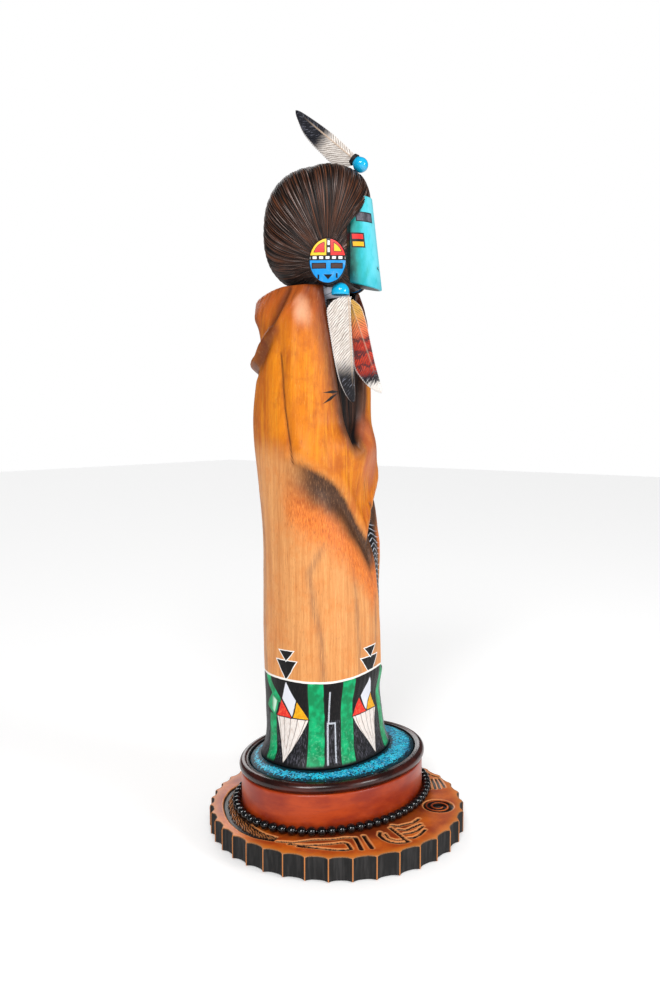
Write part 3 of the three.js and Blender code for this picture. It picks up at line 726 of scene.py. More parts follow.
def make_bead_string():
    deselect()
    count, height, a, b = 66, 14.85, PLINTH["long"] + 2.75, PLINTH["short"] + 2.75
    turns = np.linspace(0, 2 * np.pi, 4001)
    x, y = np.cos(turns) * a, np.sin(turns) * b
    run = np.concatenate([[0], np.cumsum(np.hypot(np.diff(x), np.diff(y)))])
    beads = []
    for i in range(count):
        turn = np.interp(run[-1] * i / count, run, turns)
        spot = (math.cos(turn) * a * MM, math.sin(turn) * b * MM, height * MM)
        bpy.ops.mesh.primitive_uv_sphere_add(segments=20, ring_count=12, radius=2.46 * MM, location=spot)
        bead = bpy.context.object
        bead.rotation_euler = (math.pi / 2, 0, turn + math.pi / 2)
        beads.append(bead)
    bpy.ops.mesh.primitive_torus_add(major_segments=160, minor_segments=8, major_radius=1, minor_radius=0.1)
    thread = bpy.context.object
    points = np.empty(len(thread.data.vertices) * 3)
    thread.data.vertices.foreach_get("co", points)
    points = points.reshape(-1, 3)
    turn = np.arctan2(points[:, 1], points[:, 0])
    out = np.hypot(points[:, 0], points[:, 1]) - 1
    points[:, 0], points[:, 1] = np.cos(turn) * (a + out * 6), np.sin(turn) * (b + out * 6)
    points[:, 2] = points[:, 2] * 6 + height
    thread.data.vertices.foreach_set("co", (points * MM).ravel())
    deselect()
    for bead in beads:
        bead.select_set(True)
    thread.select_set(True)
    bpy.context.view_layer.objects.active = thread
    bpy.ops.object.join()
    bpy.ops.object.shade_smooth()
    thread.name = "beads"
    move_points(thread, plinth_matrix())
    return thread


FLUTES = {"count": 39, "first": 3.1, "sway": 6.9, "toward": -20, "depth": 2.2, "shoulder": 1.3}
# Cut lines of the base top: the half width, then points [angle from the front, distance from the centre].
CUTS = [
    [0.85, [24.2, 46.6], [26.7, 49.8], [26.5, 54.7], [25.2, 58.3], [22.4, 61.1], [19.8, 62.1], [17, 62.3]],
    [0.85, [14.9, 45.4], [15.9, 51], [17, 57.7], [17.2, 62.1]],
    [0.5, [22.4, 49.3], [23.6, 54.3], [21.5, 57.9], [18.7, 59.1]],
    [0.8, [11.4, 43.9], [9.6, 46.7], [4, 48.2], [-0.4, 49.9], [-7.1, 50.2]],
    [0.8, [12.5, 49.1], [9.9, 52.6], [3.5, 52.9], [-2, 53.8]],
    [0.75, [13.7, 54.7], [9.7, 56.5], [4.6, 56.8], [-0.1, 56.1]],
    [0.75, [14.7, 59.4], [12.8, 61], [8.4, 60.7], [2.4, 59.3]],
    [0.95, [35.6, 47], [35.7, 53.7], [35.8, 60.7]],
    [0.95, [41.2, 48.1], [40.9, 54.6], [40.9, 61]],
    [0.7, [82.3, 59.6], [74.4, 56.8], [65.4, 51.2], [53.4, 48.8], [47.4, 47.4], [41.2, 48.1]],
    [0.75, [76, 59.2], [68.6, 58.1], [61.6, 55.9], [53.3, 53.6], [49, 52.6], [46.8, 53.8], [45.5, 59.7]],
    [0.8, [71, 60], [63.4, 59.4], [53.2, 60.3], [48.6, 60.7], [45.6, 60]],
    [0.7, [-76.7, 66.2], [-69.5, 64.9], [-64.7, 67.3]],
    [0.65, [-65, 60], [-57.9, 56.8], [-51.8, 54.9]],
    [0.65, [-64.6, 62.4], [-58.2, 60.1], [-51.1, 57.9]],
    [0.65, [-63.7, 64.5], [-57.5, 62.3], [-51.2, 60.6]],
    [0.6, [-63, 66.3], [-56.8, 64.7], [-51.8, 63.8]],
]
SPIRAL = {"at": (-27.8, 56.2), "radius": 8.1, "start": 2.3, "pitch": 3, "turns": 1.8, "from": -80}
# The notched band on the other side: angle, inner edge, outer edge.
BAND = [[84, 56, 60.6], [92, 56.4, 63.1], [102, 55.6, 64], [114, 55.3, 63.4], [126, 55.6, 62.6],
        [141, 56, 62.2], [153, 57.1, 61], [161, 57.6, 59]]


def on_top(angle, distance):
    return np.array([-math.sin(math.radians(angle)) * distance, -math.cos(math.radians(angle)) * distance])


def spiral_line():
    centre = on_top(*SPIRAL["at"])
    line = []
    for t in np.linspace(0, SPIRAL["turns"], 60):
        turn = math.radians(SPIRAL["from"] - 360 * t)
        reach = SPIRAL["start"] + SPIRAL["pitch"] * t
        line.append(centre + reach * np.array([math.cos(turn), math.sin(turn)]))
    return line


def carving_depth(points, grow=0):
    """How far the carving reaches down at points of the base top: 0 untouched, 1 the floor of a cut."""
    cut = np.zeros(len(points))
    for line in CUTS:
        away = line_distance(points, [on_top(*p) for p in line[1:]])
        cut = np.maximum(cut, 1 - smooth(away - grow, line[0] - 0.3, line[0] + 0.25))
    from_centre = np.linalg.norm(points - on_top(*SPIRAL["at"]), axis=1)
    dish = 1 - smooth(from_centre - grow, SPIRAL["radius"] - 0.3, SPIRAL["radius"] + 0.3)
    cut = np.maximum(cut, dish * smooth(line_distance(points, spiral_line()), 0.42, 0.9))
    # The band is cut on both sides of the back, as a long hollow with slanting teeth left standing.
    angle = np.degrees(np.arctan2(-points[:, 0], -points[:, 1])) % 360
    angle = 180 - np.abs(angle - 180)
    reach = np.hypot(points[:, 0], points[:, 1])
    band = np.array(BAND)
    inner = np.interp(angle, band[:, 0], band[:, 1]) - grow
    outer = np.interp(angle, band[:, 0], band[:, 2]) + grow
    inside = smooth(reach, inner - 0.3, inner + 0.3) * (1 - smooth(reach, outer - 0.3, outer + 0.3))
    inside = inside * smooth(angle, 83.5, 85) * (1 - smooth(angle, 160, 161.5))
    step = (angle + 2.2 * (reach - inner) + 0.9 * np.sin(angle * 0.9)) / 3.1
    step = np.abs(step - np.floor(step) - 0.5) * 2
    tooth = smooth(step, 0.42, 0.62) * smooth(reach, inner + 0.5, inner + 1)
    tooth = tooth * (1 - smooth(reach, outer - 2.9, outer - 2.1))
    return np.maximum(cut, inside * (1 - 0.85 * tooth))


def make_base():
    """The fluted disc with the lines carved into its top."""
    columns = FLUTES["count"] * 23
    foot_rows, side_rows, shoulder_rows, top_rows = 3, 10, 7, 64
    first_top = 1 + foot_rows + side_rows + shoulder_rows
    rows = first_top + top_rows + 2
    radius, thick, inner, shoulder = 70, 12, 42, FLUTES["shoulder"]

    def place(u, v):
        row = row_of(v, rows)
        turn = FLUTES["first"] + u * 360
        angle = np.radians(turn + FLUTES["sway"] * np.sin(np.radians(turn - FLUTES["toward"])))
        across = np.abs(2 * ((u * FLUTES["count"]) % 1) - 1)
        flute = radius - FLUTES["depth"] * (1 - across**3)
        foot = ramp(row, 1, foot_rows)
        side = ramp(row, 1 + foot_rows, side_rows)
        bend = ramp(row, 1 + foot_rows + side_rows, shoulder_rows) * np.pi / 2
        inward = ramp(row, first_top, top_rows)
        limit = radius - shoulder * (1 - np.cos(bend))
        z = 0.5 * foot + (thick - shoulder - 0.5) * side + shoulder * np.sin(bend)
        r = np.minimum(limit, flute) - 0.5 * (1 - np.sqrt(1 - (1 - foot) ** 2))
        r = np.where(inward > 0, r + (inner - r) * inward, r)
        r = np.where((row == 0) | (row == rows), 0, r)
        points = stack(-np.sin(angle) * r, -np.cos(angle) * r)
        top = (row > first_top) & (row < rows - 1)
        depth = np.zeros(len(row))
        depth[top] = carving_depth(points[top])
        lip = np.zeros(len(row))
        lip[top] = np.clip(carving_depth(points[top], 0.8) - depth[top] * 3, 0, 1)
        wear_and_highlight = 0.12 * np.sin(angle * 7) * np.sin(angle * 11 + 1) * (inward > 0)
        z = z - depth + wear_and_highlight * smooth(radius - r, 2, 5)
        in_flute = (flute < limit - 0.02) & (inward == 0) & (row > 0)
        on_top_edge, on_side_edge = smooth(r, flute - 0.9, flute - 0.3), smooth(z, thick - 0.5, thick - 0.1)
        between_flutes = smooth(across, 0.95, 0.985)
        arris = np.maximum(between_flutes * (inward == 0), np.where(inward > 0, on_top_edge, on_side_edge))
        values = {
            "carved": depth, "ring": r.copy(), "flute": in_flute * (1 - between_flutes),
            "arris": np.clip(arris, 0, 1), "lip": lip,
        }
        return np.column_stack([points, z]), stack(u, r / 100), values

    return wrapped_grid("base", columns, rows, place)


# ---------------------------------------------------------------- building finishes
VECTOR, FLOAT, COLOR = "NodeSocketVector", "NodeSocketFloat", "NodeSocketColor"


class Wire:
    """The value at a node's output, worked with like a number.

    | is the greater of two, & the smaller, and % 1 what is left after the whole number.
    """

    def __init__(self, finish, socket):
        self.finish, self.socket = finish, socket

    def __abs__(self):
        return self.finish.math("ABSOLUTE", self)

    def __mod__(self, _):
        return self.finish.math("FRACT", self)


def wire_sign(operation, turned):
    def work(self, other):
        a, b = (other, self) if turned else (self, other)
        return self.finish.math(operation, a, b)

    return work


SIGNS = {
    "add": "ADD", "sub": "SUBTRACT", "mul": "MULTIPLY", "truediv": "DIVIDE",
    "or": "MAXIMUM", "and": "MINIMUM",
}
for sign, operation in SIGNS.items():
    setattr(Wire, f"__{sign}__", wire_sign(operation, False))
    setattr(Wire, f"__r{sign}__", wire_sign(operation, True))


class Finish:
    """A new material, or a group, with short ways to add its nodes."""

    def __init__(self, name, roughness=0.5, gloss=0.35, tree=None):
        if tree is None:
            self.material = bpy.data.materials.new(name)
            self.material.use_nodes = True
            tree = self.material.node_tree
            self.shader = tree.nodes["Principled BSDF"].inputs
            self.shader["Roughness"].default_value = roughness
            self.shader["Specular IOR Level"].default_value = gloss
        self.tree = tree

    def put(self, socket, value):
        if isinstance(value, Wire):
            self.tree.links.new(value.socket, socket)
        elif isinstance(value, (tuple, list)):
            socket.default_value = (*value, 1)[:len(socket.default_value)]
        else:
            socket.default_value = value

    def node(self, kind, inputs=(), **settings):
        made = self.tree.nodes.new(kind)
        for key, value in settings.items():
            setattr(made, key, value)
        for key, value in dict(inputs).items():
            self.put(made.inputs[key], value)
        return made

    def wire(self, kind, inputs=(), key=0, **settings):
        return Wire(self, self.node(kind, inputs, **settings).outputs[key])

    def math(self, operation, a, b=0):
        return self.wire("ShaderNodeMath", {0: a, 1: b}, operation=operation)

    def vector(self, operation, a, b=(0, 0, 0)):
        return self.wire("ShaderNodeVectorMath", {0: a, 1: b}, operation=operation)

    def span(self, value, low, high, start=0, end=1):
        """A smooth rise from start at low to end at high."""
        inputs = {0: value, 1: low, 2: high, 3: start, 4: end}
        return self.wire("ShaderNodeMapRange", inputs, interpolation_type="SMOOTHSTEP")

    def between(self, value, low, high, soft):
        return self.span(value, low - soft, low + soft) * self.span(value, high + soft, high - soft)

    def mix(self, amount, a, b, blend="MIX"):
        inputs = {"Factor": amount, 6: a, 7: b}
        return self.wire("ShaderNodeMix", inputs, 2, data_type="RGBA", blend_type=blend)

    def uv(self, name="UVMap"):
        apart = self.node("ShaderNodeSeparateXYZ", {0: self.wire("ShaderNodeUVMap", uv_map=name)})
        return Wire(self, apart.outputs[0]), Wire(self, apart.outputs[1])

    def place(self):
        return self.wire("ShaderNodeTexCoord", key="Object")

    def value(self, name):
        return self.wire("ShaderNodeAttribute", key="Fac", attribute_name=name)

    def stretch(self, vector, scale):
        return self.wire("ShaderNodeMapping", {"Vector": vector, "Scale": scale})

    def join(self, x, y, z=0):
        return self.wire("ShaderNodeCombineXYZ", {0: x, 1: y, 2: z})

    def noise(self, vector, scale, detail=3, rough=0.55, bend=0):
        inputs = {"Vector": vector, "Scale": scale, "Detail": detail, "Roughness": rough, "Distortion": bend}
        return self.wire("ShaderNodeTexNoise", inputs, "Fac")

    def group(self, tree, **inputs):
        made = self.node("ShaderNodeGroup", node_tree=tree)
        for key, value in inputs.items():
            self.put(made.inputs[key.capitalize()], value)
        return {socket.name: Wire(self, socket) for socket in made.outputs}

    def relief(self, height, strength, depth):
        """Raises and sinks the surface by a height of up to depth millimetres."""
        inputs = {"Strength": strength, "Distance": depth * MM, "Height": height}
        self.put(self.shader["Normal"], self.wire("ShaderNodeBump", inputs))

    def coat(self, weight, roughness=None):
        """A thin layer of varnish over the whole finish."""
        self.shader["Coat Weight"].default_value = weight
        if roughness:
            self.shader["Coat Roughness"].default_value = roughness

    def done(self, color, roughness=None):
        self.put(self.shader["Base Color"], color)
        if roughness is not None:
            self.put(self.shader["Roughness"], roughness)
        return self.material


def new_group(name, inputs, outputs):
    """An empty group, the values that reach it, and what to call with its results."""
    tree = bpy.data.node_groups.new(name, "ShaderNodeTree")
    for side, sockets in (("INPUT", inputs), ("OUTPUT", outputs)):
        for key, kind in sockets.items():
            tree.interface.new_socket(key, in_out=side, socket_type=kind)
    g = Finish(name, tree=tree)
    start = {socket.name: Wire(g, socket) for socket in g.node("NodeGroupInput").outputs}
    end = g.node("NodeGroupOutput").inputs

    def give(**results):
        for key, value in results.items():
            g.put(end[key], value)
        return tree

    return g, start, give


def rgb(r, g, b):
    """A colour given as it looks, turned into light values."""
    return tuple(((c / 255 + 0.055) / 1.055) ** 2.4 if c > 10 else c / 255 / 12.92 for c in (r, g, b))


def make_patch_group():
    """How far a point lies inside a shape of four corners that run anticlockwise."""
    inputs = {"Point": VECTOR, "A": VECTOR, "B": VECTOR, "C": VECTOR, "D": VECTOR}
    g, start, give = new_group("painted patch", inputs, {"Inside": FLOAT})
    depth = None
    for one, two in ("AB", "BC", "CD", "DA"):
        unit = g.vector("NORMALIZE", g.vector("SUBTRACT", start[two], start[one]))
        cross = g.vector("CROSS_PRODUCT", unit, g.vector("SUBTRACT", start["Point"], start[one]))
        far = g.wire("ShaderNodeSeparateXYZ", {0: cross}, 2)
        depth = far if depth is None else depth & far
    return give(Inside=depth)


def make_grain_group():
    """Wood seen through stain: long streaks, short pores and the height they give."""
    outputs = {"Streak": FLOAT, "Pore": FLOAT, "Height": FLOAT}
    g, start, give = new_group("wood grain", {"Along": VECTOR}, outputs)
    streak = g.noise(start["Along"], 1, 4, 0.6, 0.3)
    fine = g.noise(g.stretch(start["Along"], (4, 4, 2)), 1, 2, 0.6)
    pore = g.span(fine, 0.62, 0.72)
    return give(Streak=streak, Pore=pore, Height=streak * 0.5 - pore * 0.5)


def make_brush_group():
    """Hand-brushed paint: a slow change of tone and the fine marks of the brush."""
    inputs = {"Place": VECTOR, "Color": COLOR, "Spread": FLOAT}
    g, start, give = new_group("brushed paint", inputs, {"Color": COLOR, "Height": FLOAT})
    color = start["Color"]
    slow = g.noise(start["Place"], 180, 3, 0.6)
    fine = g.noise(start["Place"], 900, 2, 0.6)
    tone = 0.5 + (slow * 0.7 + fine * 0.3 - 0.5) * start["Spread"]
    low = g.mix(g.span(tone, 0, 0.5), g.mix(1, color, (0.45, 0.45, 0.45), "MULTIPLY"), color)
    light = g.mix(0.35, color, (0.95, 0.95, 0.95))
    return give(Color=g.mix(g.span(tone, 0.5, 1.1), low, light), Height=fine)


def make_robe_wood_group():
    """The pale wood of the robe: long grain, fine flecks and darker veins, by angle and height."""
    inputs = {"Angle": FLOAT, "Height": FLOAT, "Place": VECTOR, "Veins": FLOAT}
    outputs = {"Color": COLOR, "Fleck": FLOAT, "Mottle": FLOAT, "Streak": FLOAT, "Fibre": FLOAT}
    g, start, give = new_group("robe wood", inputs, outputs)
    angle, z = start["Angle"], start["Height"]
    fleck = g.noise(g.join(angle * 1.6, 0, z * 0.32), 1, 3, 0.7, 0.4)
    streak = g.noise(g.join(angle * 0.2, 3, z * 0.013), 1, 4, 0.65, 0.5)
    mottle = g.noise(start["Place"], 110, 4, 0.65)
    fibre = g.noise(g.join(angle * 1.5, 9, z * 0.07), 1, 3, 0.7, 0.5)
    pale = g.mix(g.span(streak, 0.3, 0.7), rgb(196, 128, 70), rgb(220, 154, 92))
    pale = g.mix(g.span(mottle, 0.45, 0.7) * 0.5, pale, rgb(206, 122, 56))
    pale = g.mix(g.span(fibre, 0.52, 0.68) * 0.5, pale, rgb(166, 100, 54))
    pale = g.mix(g.span(fibre, 0.46, 0.3) * 0.4, pale, rgb(236, 180, 120))
    vein = start["Veins"] * (0.1 + g.span(fibre, 0.3, 0.7) * 0.7)
    color = g.mix(vein, pale, rgb(124, 88, 66))
    return give(Color=color, Fleck=fleck, Mottle=mottle, Streak=streak, Fibre=fibre)


def make_grain_lines_group():
    """Light and dark flecks of the grain laid over a colour."""
    g, start, give = new_group("grain flecks", {"Color": COLOR, "Fleck": FLOAT}, {"Color": COLOR})
    fleck = start["Fleck"]
    color = g.mix(g.span(fleck, 0.58, 0.76) * 0.3, start["Color"], rgb(244, 196, 130))
    return give(Color=g.mix(g.span(fleck, 0.44, 0.28) * 0.42, color, rgb(100, 48, 16)))


PATCH, GRAIN, BRUSH = make_patch_group(), make_grain_group(), make_brush_group()
ROBE_WOOD, FLECKS = make_robe_wood_group(), make_grain_lines_group()
BLACK = rgb(24, 21, 22)


def patch(finish, point, corners):
    """The depth inside a painted shape of three or four corners [x, y]."""
    area = sum(a[0] * b[1] - b[0] * a[1] for a, b in zip(corners, corners[1:] + corners[:1]))
    corners = list(corners) if area > 0 else list(corners)[::-1]
    if len(corners) == 3:
        a, c = corners[0], corners[2]
        corners = corners + [[(a[0] + c[0]) / 2, (a[1] + c[1]) / 2]]
    places = {key: (*corner, 0) for key, corner in zip("abcd", corners)}
    return finish.group(PATCH, point=point, **places)["Inside"]


def fill(finish, base, inside, color, outline=0.4, soft=0.12, line=BLACK):
    """Paints a shape with an outline round it over the colour beneath."""
    outer = finish.span(inside, -outline - soft, -outline + soft)
    return finish.mix(finish.span(inside, -soft, soft), finish.mix(outer, base, line), color)


# ---------------------------------------------------------------- the finishes
def robe_place(f):
    """Angle, height and the pale wood at a point of the robe."""
    x, y = f.uv()
    angle = (x - 0.5) * 360
    z = y * 300
    wood = f.group(ROBE_WOOD, angle=angle, height=z, place=f.place(), veins=f.value("veins"))
    return angle, z, wood


def robe_finish():
    f = Finish("carved and stained robe", gloss=0.26)
    angle, z, wood = robe_place(f)
    fleck, mottle = wood["Fleck"], wood["Mottle"]
    broad = f.noise(f.join(angle * 0.035, 7, z * 0.02), 1, 3, 0.6, 0.5)
    below, gap = f.value("below"), f.value("gap")
    fuzz = (fleck - 0.5) * 9 + (mottle - 0.5) * 9
    edge = below + fuzz
    away = abs(angle + 12)

    # Honey stain above the long fold, and a warm glow in the wood beneath it.
    honey = f.mix(f.span(broad, 0.35, 0.62), rgb(174, 84, 6), rgb(216, 124, 10))
    honey = f.mix(f.span(wood["Streak"], 0.48, 0.66) * 0.5, honey, rgb(230, 152, 32))
    honey = f.mix(f.span(mottle, 0.48, 0.7) * 0.4, honey, rgb(168, 78, 22))
    honey = f.mix(f.span(wood["Fibre"], 0.5, 0.68) * 0.4, honey, rgb(150, 70, 10))
    color = f.mix(f.span(edge, -8, 10), wood["Color"], honey)
    glow = f.between(edge, -36, -12, 9) * f.span(away, 112, 88)
    color = f.mix(glow * 0.8, color, f.mix(f.span(fleck, 0.36, 0.62), rgb(176, 70, 10), rgb(228, 124, 38)))
    # Deeper, redder stain over the shoulders, round the collar and beside the open neck.
    high = f.span(z + fuzz * 2, 250, 286)
    russet = f.mix(f.span(broad, 0.34, 0.64), rgb(98, 32, 10), rgb(184, 84, 28))
    color = f.mix(high * 0.85, color, russet)
    # Painted shade in the hollow that runs up under the cowl.
    color = f.mix(f.value("hollows") * 0.8, color, rgb(70, 28, 12))
    rim = f.span(gap + fuzz * 0.5, 11, 0)
    color = f.mix(rim * f.span(z, 196, 226) * 0.95, color, rgb(86, 34, 14))
    # A painted highlight on the shoulder: a soft pale patch.
    off = (angle - 77) * 0.1 + (z - 277) * -0.04
    rise = (z - 277) * 0.1
    wear_and_highlight = f.math("SQRT", off * off + rise * rise)
    wear_and_highlight = f.span(wear_and_highlight + fuzz * 0.06, 1.15, 0.1)
    color = f.mix(wear_and_highlight * 0.55, color, rgb(252, 190, 146))
    # Painted shade under the long fold, in the creases and along the edges of the opening.
    under = f.span(edge, -26, -10) * f.span(below + fuzz * 0.5, 2.4, -2.4)
    under = under * f.span(away, 108, 74)
    color = f.mix(under * 0.96, color, f.mix(f.span(fleck, 0.4, 0.7), rgb(34, 20, 14), rgb(98, 64, 44)))
    color = f.mix(f.value("crease"), color, rgb(84, 38, 12))
    edge_shade = f.span(gap + fuzz * 0.35, 5.5, 0.8) * f.between(z, 203, 250, 8)
    color = f.mix(edge_shade * 0.85, color, f.mix(mottle, rgb(44, 26, 18), rgb(112, 70, 46)))
    # The gathered roll over the hand is pinker, partly its own colour and partly a painted highlight on the
    # bulge.
    hand = f.span(angle, 4, -12) * (f.between(z, 190, 222, 7) * f.span(angle, -60, -36))
    color = f.mix(hand * 0.6, color, f.mix(mottle, rgb(150, 60, 34), rgb(204, 120, 84)))
    color = f.group(FLECKS, color=color, fleck=fleck)["Color"]
    # The collar's lip is painted black, and the inside of the collar is near black as painted shade.
    color = f.mix(f.span(f.value("hollow"), 0.2, 0.6), color, rgb(16, 10, 8))
    color = f.mix(f.value("opened"), color, underdress(f, angle, z))
    color = paint_mark(f, color, angle, z)

    f.relief(fleck * 0.6 + mottle * 0.5, 0.35, 0.25)
    return f.done(color, 0.34 + mottle * 0.2)


def hem_finish():
    """The wood and the painted band below the robe's waist."""
    f = Finish("painted hem", gloss=0.22)
    _, _, wood = robe_place(f)
    color = f.group(FLECKS, color=wood["Color"], fleck=wood["Fleck"])["Color"]
    color = f.mix(f.value("opened"), color, rgb(14, 13, 16))
    color, brush = paint_band(f, color, f.place())
    f.relief(wood["Fleck"] * 0.5 + brush * 0.9, 0.4, 0.25)
    return f.done(color, 0.34 + wood["Mottle"] * 0.2)


def underdress(f, angle, z):
    """The black dress inside the opening, with a row of short pale strokes."""
    slant = z * 0.36 + abs(angle + 36) * 0.09
    stroke = abs(slant % 1 - 0.5)
    stroke = f.span(stroke, 0.13, 0.07) * f.between(z, 112, 172, 2)
    wear = f.span(f.noise(f.join(angle * 0.8, 0, z * 0.8), 1, 2), 0.35, 0.55)
    return f.mix(stroke * wear, rgb(14, 13, 16), rgb(186, 190, 200))


def paint_mark(f, color, angle, z):
    """The black forked mark beside the open neck."""
    point = f.join(angle * 0.6, z)
    upper = [[56, 235.6], [43, 237], [31, 236.2], [43, 235.3]]
    lower = [[56, 229.7], [45, 233.9], [34, 235.6], [45, 231.8]]
    for corners in (upper, lower):
        inside = patch(f, point, [[a * 0.6, h] for a, h in corners])
        color = f.mix(f.span(inside, -0.1, 0.12), color, rgb(12, 8, 8))
    return color


FRONT_WIDTH = 54
# The painted shapes of the hem on each front, as [distance from its middle line, height].
FRONT_SHAPES = {
    "tail": [[12.1, 64.4], [-12.1, 64.6], [0, 41.6]],
    "red": [[6.8, 73.2], [12.1, 64.5], [-0.5, 64.9]],
    "gold": [[-6, 73.6], [-1.7, 65.2], [-12.2, 65]],
    "diamond": [[0, 83.4], [5.5, 74.2], [-0.9, 65.5], [-5.6, 74.4]],
    "big": [[9, 94.7], [-7.9, 95], [0, 84.5]],
    "small": [[6, 100], [-5.6, 100.4], [0, 94.8]],
}


def paint_band(f, color, place):
    """The band of painted shapes round the hem. Its four fronts stand a quarter turn apart."""
    x, y = f.uv("band")
    wobble = f.noise(place, 230, 2, 0.5) - 0.5
    turns = x * 4 + 0.5
    s = (turns % 1 - 0.5) * FRONT_WIDTH + wobble * 0.8
    # The band's upper line climbs a little toward the open front.
    climb = f.span(x, 0.66, 0.42) * f.span(x, 0.22, 0.38) * 3.2
    z = y * 300 + wobble * 0.5
    line = z - climb
    second = f.math("GREATER_THAN", turns * 0.5 % 1, 0.5)
    streaks = f.noise(f.join(s * 2, 0, z * 0.35), 1, 3, 0.7, 0.6)
    wear = f.noise(place, 700, 3, 0.7)
    coal = f.mix(f.span(streaks, 0.5, 0.72), rgb(5, 4, 6), rgb(34, 28, 28))
    # Below the white step the black is streaked with grey, partly grey paint and partly painted sheen along
    # the grain.
    grey_streaked_coal = f.mix(f.span(streaks, 0.46, 0.68), rgb(6, 6, 9), rgb(84, 82, 92))
    band = f.mix(f.span(z, 64.6, 63.6), coal, grey_streaked_coal)

    # A green stripe stands on each side of the dark panel between two fronts.
    first = 1 - second
    upper = 3.2 - abs(s - f.span(z, 84, 71, 17, 6.6))
    upper = upper & (z - 71.6) * 0.8
    lower = 3.3 - abs(s - f.span(z, 64, 42, 10.6, 6.8))
    lower = lower & (64.2 - z) * 0.8
    leaf = patch(f, f.join(s, z), [[18.6, 67.4], [12.2, 75.6], [5.6, 72.6], [8.4, 63.8]])
    left = 4 - abs(s + f.span(z, 86, 60, 16.8, 17.5))
    drawn = upper | lower | leaf
    straight = f.span(z, 86, 64, 17.6, 18.9) + f.span(z, 64, 42, 0, 0.6)
    straight = 4.2 - abs(s - straight)
    drawn = second * drawn + first * straight
    green = f.mix(f.span(wobble, -0.15, 0.2), rgb(0, 126, 74), rgb(0, 172, 108))
    wear_and_highlight = f.span(wear, 0.5, 0.7) * f.span(z, 70, 48)
    green = f.mix(wear_and_highlight * 0.4, green, rgb(120, 206, 160))
    shine = f.span(leaf, 0.8, 2) * (second * f.span(s, 13, 9))
    green = f.mix(shine * 0.85, green, rgb(206, 238, 216))
    band = fill(f, band, left | drawn, green, 0.75)

    # The stepped white line of the middle panel, broken like a dry brush.
    dry = f.span(f.noise(f.join(s * 2.6, 0, z * 2.2), 1, 2, 0.6), 0.36, 0.46)
    turned = (x * 4 % 1 - 0.5) * FRONT_WIDTH
    slant = turned + (z - 72) * 0.05
    white = f.between(slant, 2.4, 3.3, 0.12) * f.between(z, 62.4, 79.6, 0.3)
    white = white | f.between(turned, 3.3, 4.2, 0.12) * f.between(z, 41.8, 63.2, 0.3)
    white = white | f.between(turned, -0.8, 0, 0.12) * f.between(z, 42.6, 62.6, 0.3)
    white = white | f.between(turned, -0.8, 4.2, 0.15) * f.between(z, 62.3, 63.2, 0.15)
    band = f.mix(white * dry * 0.85, band, rgb(196, 200, 210))

    # The shapes of a front: its middle line leans one way or the other as it goes down.
    low, high = f.span(z, 62, 44), f.span(z, 84, 64)
    lean_one = high * 2.5 - low * 4.4
    lean_two = high * -3.3 + low * 1.1
    lean = second * lean_two + (1 - second) * lean_one
    s = (s - lean) * (1 + second * 0.22)
    point = f.join(s, z)
    quill = s / ((z - 38) * 0.19 | 0.3) % 1
    quill = abs(quill - 0.5)
    plume = f.mix(f.span(streaks, 0.45, 0.7), rgb(226, 218, 212), rgb(194, 176, 166))
    plume = f.mix(f.span(quill, 0.42, 0.47) * 0.8, plume, rgb(84, 68, 66))
    orange = f.mix(f.span(wear, 0.4, 0.7), rgb(214, 34, 30), rgb(234, 84, 52))
    gold = f.mix(f.span(wear, 0.4, 0.7), rgb(214, 148, 6), rgb(240, 178, 24))
    for shape, paint in (("tail", plume), ("red", orange), ("gold", gold), ("diamond", rgb(214, 216, 224))):
        band = fill(f, band, patch(f, point, FRONT_SHAPES[shape]), paint, 0.45)

    for shape in ("big", "small"):
        color = fill(f, color, patch(f, point, FRONT_SHAPES[shape]), coal, 0.5, line=rgb(236, 234, 230))
    color = f.mix(f.between(line, 84.1, 85.3, 0.12), color, rgb(232, 228, 222))
    color = f.mix(f.span(line, 84.3, 84.1), color, band)
    # The lowest strip of the hem, where the robe stands on the ground, is near black as painted shade.
    color = f.mix(f.span(z, 42.6, 40.8), color, rgb(8, 8, 10))
    return color, streaks


def hair_finish():
    f = Finish("combed hair", gloss=0.25)
    x, y = f.uv()
    strand = f.noise(f.join(x * 430, 0, y * 6), 1, 2, 0.7)
    lock = f.noise(f.join(x * 150, 0, y * 3), 1, 2, 0.6, 0.4)
    gap = f.noise(f.join(x * 230, 5, y * 3.6), 1, 2, 0.6, 0.5)
    place = f.place()
    warm = f.span(f.noise(place, 55, 2, 0.5), 0.36, 0.6)
    color = f.mix(f.span(strand, 0.44, 0.6), rgb(6, 4, 3), rgb(88, 55, 40))
    color = f.mix(f.span(lock, 0.48, 0.6) * (0.15 + warm * 0.6), color, rgb(112, 62, 34))
    glint = f.span(strand, 0.56, 0.66) * f.span(warm, 1, 0.3, 0.25, 1)
    color = f.mix(glint * 0.7, color, rgb(184, 172, 168))
    # Painted shade: near black in the gaps between strands and in the grooves between locks.
    color = f.mix(f.span(gap, 0.5, 0.58) * 0.85, color, rgb(4, 3, 3))
    color = f.mix(f.value("groove") * 0.9, color, rgb(4, 3, 3))
    # The flat face of the hair beside the mask is near black, painted shade between hair and mask.
    flat = f.mix(f.span(f.noise(place, 240), 0.4, 0.7), rgb(8, 6, 7), rgb(26, 22, 22))
    color = f.mix(f.value("face_plane"), color, flat)
    f.relief(strand + lock * 0.8 - gap * 0.8, 0.8, 0.3)
    return f.done(color, 0.3 + strand * 0.3)


def hank_finish():
    f = Finish("hair over the chest", gloss=0.18)
    x, y = f.uv()
    strand = f.noise(f.join(x * 24, 0, y * 7), 1, 3, 0.65, 0.5)
    color = f.mix(f.span(strand, 0.48, 0.68), rgb(6, 4, 4), rgb(74, 46, 34))
    f.relief(strand, 0.9, 0.5)
    return f.done(color, 0.32 + strand * 0.25)


